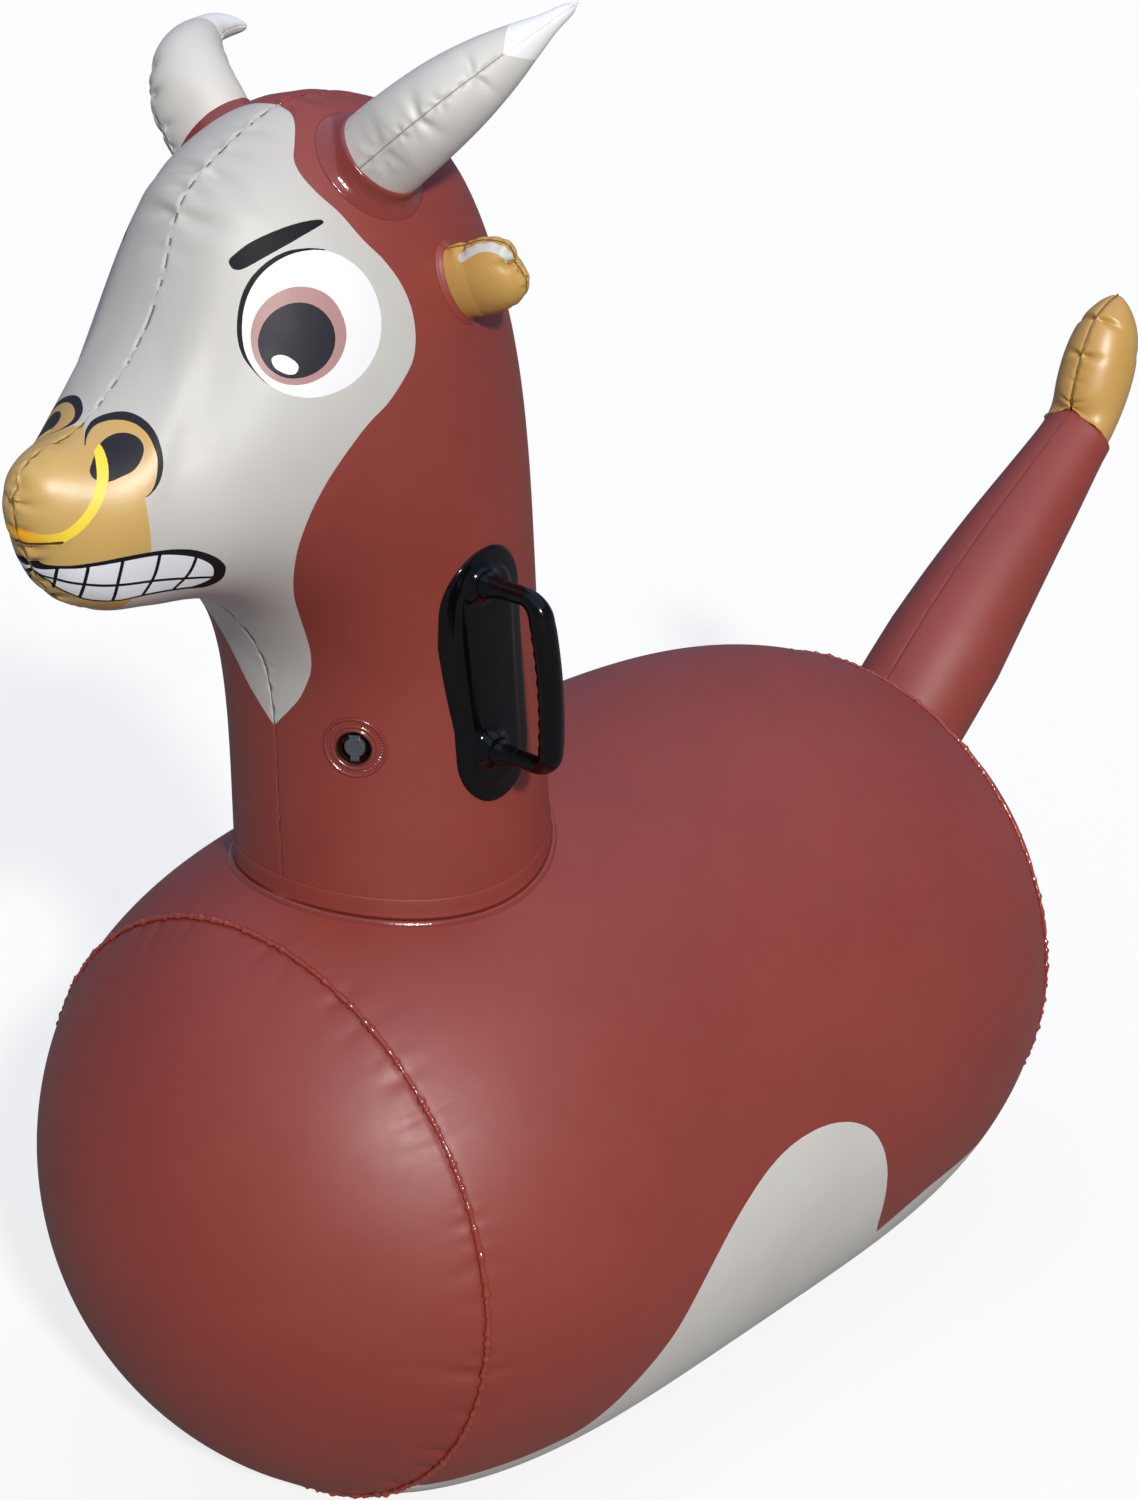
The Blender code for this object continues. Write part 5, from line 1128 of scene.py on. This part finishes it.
for side, sign in (("left", 1), ("right", -1)):
    flip = Vector((sign, 1, 1))
    base = (Vector(ear["base"]) + Vector((0, 0, axisHeight))) * flip
    out = (Vector(ear["out"]) * flip).normalized()
    up = Vector(ear["up"]) * flip
    up = (up - out * up.dot(out)).normalized()
    front = out.cross(up) * sign
    flat, earRow, earDegree = panelNet(ear["table"], ear["netRows"], ear["netColumns"])
    folds = {last: foldMarks(ear["seamLength"], *ear["folds"]) for last in (False, True)}
    folds[True] = np.concatenate([folds[True], ear["creases"]])
    bandPlace = netPlace(smoothLoop(ear["band"]), earRow, earDegree)
    sheets = []
    for panel, face in (("front", 1), ("back", -1)):
        net = np.array(base) + flat[:, :, :1] * np.array(out) + flat[:, :, 1:2] * np.array(up)
        net = net + face * flat[:, :, 2:] * np.array(front)
        landOn(headTree, net, -out, ear["landRow"])
        net = wrinkleNet(net, folds, ear["groove"], ear["grooveWidth"])
        sheets.append(net)
        lines = [bandPlace] if panel == "front" else []
        piece = sheetPiece(net, lines, (ochreFilm, bandInk))
        settle(piece, f"{side}Ear{panel.title()}", "bull", "ochre_pvc", f"{side}_ear_{panel}_panel")
    # painted shade: the ear's seam is a dark ochre line
    piece = weldBead(pairSeam(sheets), ear["beadRadius"], False, ochreSeamShade, ear["beadLump"], 8)
    settle(piece, side + "EarSeam", "bull", "ochre_pvc", side + "_ear_seam_weld")
    footCollar(side + "EarFlange", pairFoot(sheets), headTree, out, ear["flange"], brownFilm,
               side + "_ear_collar")
print("ears: panels, seams and flanges")


# tail and tuft: pairs of panels on the middle plane; the tail's under side is tucked in behind the barrel
tail = dict(
    start=(0.400, 0.1212), end=(0.630, 0.309), radii=(0.0570, 0.0515, 0.0455, 0.0390, 0.0325, 0.0260),
    bow=0.005, tuck=(0.008, 0.007, 0.004, 0.0015, 0.0, 0.0), bowShape=1.5, netRows=130, netColumns=48,
    groove=0.0004, grooveWidth=0.0014, folds=(0.055, 0.004, 0.012, 0.0006), seamLength=0.36, landRow=30,
    puff=0.0012, beadRadius=0.0005, beadLump=0.3,
    flange=[(-0.0010, 0.0040), (0.0008, 0.0042), (0.0014, 0.0034), (0.0024, 0.0018), (0.0050, 0.0010),
            (0.0066, 0.0004), (0.0067, -0.0006), (0.0030, -0.0010), (-0.0010, -0.0010)],
    tuftTip=(0.6707, 0.4118), tuftRadii=(0.0258, 0.0292, 0.0316, 0.0308, 0.0250, 0.0112, 0.0), sag=0.008,
    tuftSteps=(0.0, 0.16, 0.36, 0.58, 0.78, 0.93, 1.0), tuftRows=110, tuftColumns=64, joint=0.0024,
    tuftGroove=0.0009, tuftGrooveWidth=0.0016, tuftSeamLength=0.125, tuftGap=0.0002, tuftBead=0.0006,
    tuftLump=0.4, jointBack=0.0012, jointRadius=0.0011, jointLump=0.5,
    tuftNips=(0.012, 0.0016, 0.007, 0.0004),
    tuftFolds=[(0.006, 0.0020, 0.012, 0.0018, 0.2), (0.024, 0.0018, 0.008, 0.0008, 0.0),
               (0.045, 0.0022, 0.012, 0.0042, 0.05), (0.078, 0.0026, 0.020, 0.0056, 0.1)])
capTree = treeOf(capNets["rear"])
start, end, tip = (np.array(tail[k]) for k in ("start", "end", "tuftTip"))
tailWay = (end - start) / np.linalg.norm(end - start)
tailSide = np.array((-tailWay[1], tailWay[0]))
table = []
for s, radius, tuck in zip(np.linspace(0, 1, len(tail["radii"])), tail["radii"], tail["tuck"]):
    centre = start + (end - start) * s + tailSide * tail["bow"] * math.sin(math.pi * s) ** tail["bowShape"]
    table.append((*(centre + tailSide * radius), *(centre - tailSide * (radius - tuck)), 1.0))
flat = panelNet(table, tail["netRows"], tail["netColumns"], closedTip=False)[0]
folds = {last: foldMarks(tail["seamLength"], *tail["folds"]) for last in (False, True)}
sheets = []
for side, sign in (("left", 1), ("right", -1)):
    arch = np.sin(np.linspace(0, math.pi, flat.shape[1]))  # from seam to seam
    wide = sign * (flat[:, :, 2] + tail["puff"] * arch)
    net = np.stack([wide, flat[:, :, 0], flat[:, :, 1] + axisHeight], -1)
    landOn(capTree, net, Vector((0, *-tailWay)), tail["landRow"])
    # the panels' ends sag between the seams, the tuft's foot with them
    belly = arch * np.linspace(0, 1, len(net))[:, None] ** 4
    net[:, :, 1:] -= tail["sag"] * belly[:, :, None] * tailWay
    net = wrinkleNet(net, folds, tail["groove"], tail["grooveWidth"])
    sheets.append(net)
    settle(sheetPiece(net, (), (brownFilm,)), f"tailSkin{side.title()}", "bull", "brown_pvc",
           "tail_panel_" + side)
middle = (sheets[0] + sheets[1]) / 2
for name, column in (("top", 0), ("bottom", -1)):
    piece = weldBead(middle[2:-1, column], tail["beadRadius"], False, weldFilm, tail["beadLump"], 8)
    settle(piece, f"tailSeam{name.title()}", "bull", "brown_pvc", f"tail_{name}_weld")
footCollar("tailFlange", pairFoot(sheets), capTree, Vector((0, *tailWay)), tail["flange"], weldFilm,
           "tail_collar")

tuftStart = end + tailWay * tail["joint"]
tuftWay = (tip - tuftStart) / np.linalg.norm(tip - tuftStart)
table = []
for s, radius in zip(tail["tuftSteps"], tail["tuftRadii"]):
    turnIn = min(s / tail["tuftSteps"][1], 1.0)  # the foot row keeps the tail's angle
    cross = tailWay * (1 - turnIn) + tuftWay * turnIn
    cross = np.array((-cross[1], cross[0])) / np.linalg.norm(cross)
    centre = tuftStart + (tip - tuftStart) * s
    table.append((*(centre + cross * radius), *(centre - cross * radius), 1.0))
flat = panelNet(table, tail["tuftRows"], tail["tuftColumns"])[0]
folds = {last: np.concatenate([tail["tuftFolds"], foldMarks(tail["tuftSeamLength"], *tail["tuftNips"])])
         for last in (False, True)}
sheets = []
for side, sign in (("left", 1), ("right", -1)):
    net = np.stack([sign * flat[:, :, 2], flat[:, :, 0], flat[:, :, 1] + axisHeight], -1)
    belly = np.sin(np.linspace(0, math.pi, net.shape[1])) * np.linspace(1, 0, len(net))[:, None] ** 3
    net[:, :, 1:] -= tail["sag"] * belly[:, :, None] * tailWay
    net = wrinkleNet(net, folds, tail["tuftGroove"], tail["tuftGrooveWidth"])
    net[:, :, 0] = np.maximum(net[:, :, 0] * sign, tail["tuftGap"]) * sign
    sheets.append(net)
    settle(sheetPiece(net, (), (ochreFilm,)), f"tuftSkin{side.title()}", "bull", "ochre_pvc",
           "tuft_panel_" + side)
# painted shade: the tuft's seam is a dark ochre line
piece = weldBead(pairSeam(sheets), tail["tuftBead"], False, ochreSeamShade, tail["tuftLump"], 8)
settle(piece, "tuftSeam", "bull", "ochre_pvc", "tuft_seam_weld")
joint = pairFoot(sheets) - np.array((0, *tailWay)) * tail["jointBack"]
piece = weldBead(joint, tail["jointRadius"], True, ochreFilm, tail["jointLump"], 8)
settle(piece, "tuftJoint", "bull", "ochre_pvc", "tuft_joint_weld")
print("tail: panels, seams, flange and tuft")


# handles: moulded patch with a raised field and two bosses, soft boots and the U-shaped grip
handle = dict(
    centre=(0.105, -0.203, 0.379), tilt=math.radians(5.5), halfWidth=0.034, halfHeight=0.086,
    edgeHeight=0.0019, fieldInset=0.0115, fieldHeight=0.0015, hingeX=0.120336, legSpacing=0.113,
    bossBelow=0.0042, bossTop=0.0072, bossFoot=0.0165, legRadius=0.0058, gripRadius=0.0078, bend=0.014,
    reach=0.037, barBow=0.0028, ribs=9, ribDepth=0.0014, legFrom=0.0036, drop=0.0092, waist=0.0085,
    patchBack=0.0050, around=220, insets=34, lean=math.radians(64), waistFrom=0.03, waistRun=0.06,
    patchLift=0.0002, edgeSoft=0.0018, fieldSoft=0.0016, climb=2.2, ribEnd=0.006, ribBulge=1.6,
    ribWide=0.08, pipeAround=32, bootBelow=0.005, bootRun=0.011, bendFrom=0.0045, bendTo=0.006)
handleUp = np.array((0.0, -math.sin(handle["tilt"]), math.cos(handle["tilt"])))
handleBack = np.array((0.0, math.cos(handle["tilt"]), math.sin(handle["tilt"])))
centre = np.array(handle["centre"]) + (0, 0, axisHeight)
legs = []
for sign in (1, -1):
    leg = centre + handleUp * sign * handle["legSpacing"] / 2
    leg[0] = handle["hingeX"]
    legs.append(leg)
pivot = (legs[0] + legs[1]) / 2

straight = handle["halfHeight"] - handle["halfWidth"]
insets = np.linspace(0.0026, handle["halfWidth"], handle["insets"])
insets = np.concatenate([[0, 0.0001, 0.0004, 0.0009, 0.0016], insets])  # close together on the rounded edge
run = np.linspace(0, 4 * straight + math.tau * handle["halfWidth"], handle["around"] + 1)
arc = math.pi * handle["halfWidth"]
rows = []
for inset in insets:
    row = []
    for distance in run:
        small = handle["halfWidth"] - inset
        if distance < 2 * straight:
            across, rise = small, -straight + distance
        elif distance < 2 * straight + arc:
            turn = (distance - 2 * straight) / handle["halfWidth"]
            across, rise = small * math.cos(turn), straight + small * math.sin(turn)
        elif distance < 4 * straight + arc:
            across, rise = -small, straight - (distance - 2 * straight - arc)
        else:
            turn = math.pi + (distance - 4 * straight - arc) / handle["halfWidth"]
            across, rise = small * math.cos(turn), -straight + small * math.sin(turn)
        if across < 0:  # the front edge swings in towards the lower end
            swing = clamp((handle["waistFrom"] - rise) / handle["waistRun"])
            across *= 1 - handle["waist"] / handle["halfWidth"] * swing
        spot = centre + handleBack * (across + handle["patchBack"]) + handleUp * (rise - handle["drop"])
        hit = headTree.ray_cast(Vector((0.3, spot[1], spot[2])), Vector((-1, 0, 0)))[0]
        height = handle["patchLift"] + handle["edgeHeight"] * math.sqrt(min(inset / handle["edgeSoft"], 1.0))
        field = clamp((inset - handle["fieldInset"] + handle["fieldSoft"]) / (2 * handle["fieldSoft"]))
        height += handle["fieldHeight"] * field * field * (3 - 2 * field)
        x = hit.x + height
        for leg in legs:
            gap = math.hypot(spot[1] - leg[1], spot[2] - leg[2])
            climb = clamp((handle["bossFoot"] - gap) / (handle["bossFoot"] - handle["bossTop"]))
            top = handle["hingeX"] - handle["bossBelow"]
            x = max(x, x + (top - x) * climb ** handle["climb"])
        row.append((x, spot[1], spot[2]))
    rows.append(row)
patchNet = np.array(rows)

half, bend, reach = handle["legSpacing"] / 2, handle["bend"], handle["reach"]
flatBar = half - bend
stations = []  # reach, rise, radius and rib share: up one leg, round the bend and to the middle of the bar
for u in np.linspace(handle["legFrom"], reach - bend, 26):
    stations.append((u, half, handle["legRadius"], 0))
for turn in np.linspace(0, math.pi / 2, 24)[1:]:
    swell = (1 - math.cos(turn * 2)) / 2
    radius = handle["legRadius"] + (handle["gripRadius"] - handle["legRadius"]) * swell
    stations.append((reach - bend + bend * math.sin(turn), flatBar + bend * math.cos(turn), radius, 0))
for v in np.linspace(flatBar, 0, 90)[1:]:
    stations.append((reach, v, handle["gripRadius"], min(1.0, (flatBar - v) / handle["ribEnd"])))
route, radii, ribs = np.array(stations)[:, :2], np.array(stations)[:, 2], np.array(stations)[:, 3]
onBar = route[:, 0] > reach - 0.001
route[:, 0] += handle["barBow"] * np.clip(1 - (route[:, 1] / flatBar) ** 2, 0, 1) * onBar
route = np.vstack([route, (route * (1, -1))[-2::-1]])
radii, ribs = np.concatenate([radii, radii[-2::-1]]), np.concatenate([ribs, ribs[-2::-1]])

# the bar is swept along the route, with flat ribs for the fingers on the side that faces the neck
ahead = np.gradient(route, axis=0)
ahead /= np.linalg.norm(ahead, axis=1)[:, None]
inward = np.stack([-ahead[:, 1], ahead[:, 0]], 1)
turn = np.linspace(0, math.tau, handle["pipeAround"] + 1)
rows = []
for spot, radius, rib, way in zip(route, radii, ribs, inward):
    inner, flank = np.cos(turn) * radius, np.sin(turn) * radius
    facing = np.clip(-inner / radius, 0, 1) ** 2
    wave = 0.5 - 0.5 * math.cos(math.tau * handle["ribs"] * (spot[1] + flatBar) / (2 * flatBar))
    inner = inner + facing * handle["ribDepth"] * handle["ribBulge"] * wave * rib
    flank = flank * (1 + handle["ribWide"] * rib)
    plane = spot[None, :] + inner[:, None] * way[None, :]
    ring = pivot + plane[:, :1] * (1.0, 0, 0) + plane[:, 1:] * handleUp
    rows.append(ring + flank[:, None] * handleBack)
rows.insert(0, np.repeat(rows[0].mean(0)[None, :], len(turn), 0))  # closed ends
rows.append(np.repeat(rows[-1].mean(0)[None, :], len(turn), 0))
gripNet = np.array(rows)

# soft boots: height over the hinge and radius
bootProfile = [(-0.0072, 0.0090), (-0.0052, 0.0090), (-0.0034, 0.0086), (-0.0018, 0.0079), (0.0, 0.0073),
               (0.0022, 0.0068), (0.0046, 0.0064), (0.0072, 0.00615), (0.0092, 0.0060), (0.0096, 0.0055)]
smooth = smoothRows(bootProfile, np.linspace(0, len(bootProfile) - 1, 46))
for side, flip in (("left", 1), ("right", -1)):
    mirror = np.array((flip, 1, 1))
    hinge = Vector(pivot * mirror)
    turn = Matrix.Identity(4)
    if side == "right":
        turn = Matrix.Rotation(-handle["lean"], 4, Vector(handleUp))
        turn = Matrix.Translation(hinge) @ turn @ Matrix.Translation(-hinge)
    piece = sheetPiece(patchNet * mirror, (), (blackMoulded,), wall=0.0)
    settle(piece, side + "HandlePatch", "bull", "black_moulded_pvc", side + "_handle_base")
    piece = sheetPiece(gripNet * mirror, (), (blackMoulded,), wall=0.0)
    piece.data.transform(turn)
    settle(piece, side + "HandleGrip", side + "_grip", "black_moulded_pvc", side + "_handle_grip")
    for end, leg in (("Top", legs[0]), ("Bottom", legs[1])):
        rows = []
        around = np.linspace(0, math.tau, handle["pipeAround"] + 1)
        for out, radius in [(smooth[0, 0], 0.0), *smooth, (smooth[-1, 0], 0.0)]:
            rows.append(np.stack([np.full(len(around), leg[0] + out), leg[1] + radius * np.cos(around),
                                  leg[2] + radius * np.sin(around)], 1))
        net = np.array(rows) * mirror
        if side == "right":
            # the boot is bent as far as the grip lies back
            place = net.reshape(-1, 3)
            share = np.abs(place[:, 0]) - handle["hingeX"] + handle["bootBelow"]
            share = np.clip(share / handle["bootRun"], 0, 1)
            share = share * share * (3 - 2 * share)
            for k, spot in enumerate(place):
                bendBack = Matrix.Rotation(-handle["lean"] * share[k], 3, Vector(handleUp))
                place[k] = hinge + bendBack @ (Vector(spot) - hinge)
            net = place.reshape(net.shape)
        piece = sheetPiece(net, (), (blackMoulded,), wall=0.0)
        piece.name = piece.data.name = f"{side}HandleBoot{end}"
        way = Vector((flip, 0, 0))
        if side == "right":
            way = Matrix.Rotation(-handle["lean"] / 2, 3, Vector(handleUp)) @ way
        spot = Vector(leg * mirror)
        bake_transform(piece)
print("handles: patches, grips and boots")


# valve: welded flange, recess, clear stem, stopper and the flap inside
def turnedPiece(profile, finish, steps=72):
    # a closed (radius, height) outline spun round the valve's axis
    mesh = bpy.data.meshes.new("turned")
    count = len(profile)
    links = [(k, (k + 1) % count) for k in range(count - (profile[0][0] == 0.0))]
    mesh.from_pydata([(r, 0.0, h) for r, h in profile], links, [])
    piece = addObject("turned", mesh)
    bpy.ops.object.mode_set(mode="EDIT")
    bpy.ops.mesh.select_all(action="SELECT")
    bpy.ops.mesh.spin(steps=steps, angle=math.tau, center=(0, 0, 0), axis=(0, 0, 1))
    cleanMesh()
    piece.data.materials.append(finish)
    piece.data.transform(valveFrame)
    bpy.ops.object.shade_smooth_by_angle(angle=math.radians(42))
    return piece


flange = dict(
    rings=[(0.0108, -0.0012), (0.0108, 0.0006), (0.0111, 0.0012), (0.0116, 0.0015), (0.0122, 0.0012),
           (0.0127, 0.0006), (0.0131, 0.0004), (0.0135, 0.0008), (0.0140, 0.0012), (0.0146, 0.0013),
           (0.0152, 0.0010), (0.0157, 0.0005), (0.0160, 0.0004), (0.0166, 0.0004), (0.0172, 0.0004),
           (0.0177, 0.0004), (0.0181, 0.0005), (0.0185, 0.0010), (0.0190, 0.0014), (0.0196, 0.0014),
           (0.0201, 0.0009), (0.0204, 0.0003), (0.0205, -0.0004)], ticks=52, tickFrom=0.0158, tickTo=0.0180,
    tickHeight=0.0006, tickGap=0.35, around=312)
rows = []
for r, height in flange["rings"]:
    row = []
    for angle in np.linspace(0, math.tau, flange["around"] + 1):
        tick = 0.0
        if flange["tickFrom"] < r < flange["tickTo"]:
            tick = flange["tickHeight"] * (math.sin(angle * flange["ticks"]) > flange["tickGap"])
        row.append(onValveRing(angle, r) + valveOut * (height + tick))
    rows.append(row)
piece = sheetPiece(np.array(rows), (), (weldFilm,), wall=0.0)
if sum(face.normal.dot(valveOut) for face in piece.data.polygons) < 0:
    piece.data.flip_normals()
settle(piece, "valveFlange", "bull", "brown_pvc", "valve_flange")

depth, wide = valve["recessDepth"], valve["recessRadius"]
# painted shade: the recess is coloured dark for the shade inside the hollow
piece = turnedPiece([
    (wide, 0.0004), (wide + 0.0003, 0.0010), (wide + 0.0006, 0.0012), (wide + 0.0009, 0.0010),
    (wide + 0.0010, 0.0), (wide + 0.0008, -depth - 0.0004), (wide + 0.0002, -depth - 0.0008),
    (0.0064, -depth - 0.0008), (0.0064, -depth), (wide - 0.0010, -depth), (wide - 0.0003, -depth + 0.0004),
    (wide, -depth + 0.0012)], cupShade)
settle(piece, "valveRecess", "bull", "brown_pvc", "valve_cup")

top, bottom = valve["stemTop"], valve["stemTop"] - valve["stemLength"]
bore, wall = valve["stemBore"], valve["stemRadius"]
piece = turnedPiece([
    (bore, top - 0.0003), (bore + 0.0003, top), (wall - 0.0005, top), (wall, top - 0.0005),
    (wall, bottom + 0.0022), (wall + 0.0004, bottom + 0.0016), (0.0074, bottom + 0.0016),
    (0.0078, bottom + 0.0012), (0.0078, bottom + 0.0004), (0.0074, bottom), (bore, bottom)], clearSoft)
settle(piece, "valveStem", "stem", "clear_pvc", "valve_stem")

low = top + 0.0003
high = low + valve["plugThick"]
cap = turnedPiece([
    (0.0, high - 0.0005), (0.0030, high - 0.0005), (0.0036, high), (0.0058, high), (0.0064, high - 0.0004),
    (0.0065, high - 0.0008), (0.0065, low + 0.0001), (0.0063, low), (0.0034, low), (0.0033, low - 0.0012),
    (0.0030, low - 0.0025), (0.0019, low - 0.0050), (0.0, low - 0.0052)], clearSoft)
strapHeight = high - 0.00065
deselectAll()
bpy.ops.mesh.primitive_cube_add(size=1.0)
strap = bpy.context.object
strap.scale = (2 * valve["tabHalf"], valve["strapHinge"] + valve["tabLength"], valve["strapThick"])
strap.location = (0.0, (valve["strapHinge"] - valve["tabLength"]) / 2, strapHeight)
bpy.ops.object.transform_apply(location=True, rotation=True, scale=True)
bpy.ops.object.mode_set(mode="EDIT")
bpy.ops.mesh.select_all(action="SELECT")
bpy.ops.mesh.subdivide(number_cuts=9)
bpy.ops.object.mode_set(mode="OBJECT")
(nip, nipPlace, nipWidth), (tabStart, tabRun) = valve["strapWaist"], valve["tabFrom"]
for corner in strap.data.vertices:
    # the strap narrows at the cap's rim, the tab is a rounded leaf with a thicker end
    y = corner.co.y
    inTab = clamp((-y - tabStart) / tabRun)
    waist = 1 - nip * math.exp(-((abs(y) - nipPlace) / nipWidth) ** 2)
    corner.co.x *= waist * math.sqrt(max(1 - (valve["tabRound"] * inTab) ** 2, 0.0)) if y < 0 else waist
    corner.co.z += (corner.co.z - strapHeight) * valve["tabSwell"] * inTab
strap.data.transform(valveFrame)
strap.data.materials.append(clearSoft)
soften = strap.modifiers.new("soften", "BEVEL")
soften.width = valve["strapSoft"]
soften.segments = 2
soften.limit_method = "ANGLE"
bpy.ops.object.modifier_apply(modifier="soften")
bpy.ops.object.shade_smooth_by_angle(angle=math.radians(50))
joinPieces(cap, strap)
settle(cap, "valvePlug", "plug", "clear_pvc", "valve_plug")

hang, wide, thick = bottom - 0.0004, valve["flapRadius"], valve["flapThick"]
piece = turnedPiece([
    (0.0, hang), (wide - 0.0002, hang), (wide, hang - 0.0002), (wide, hang - thick + 0.0002),
    (wide - 0.0002, hang - thick), (0.0, hang - thick)], clearSoft, 48)
settle(piece, "valveFlap", "flap", "clear_pvc", "valve_flap")
print("valve: flange, recess, stem, stopper and flap")
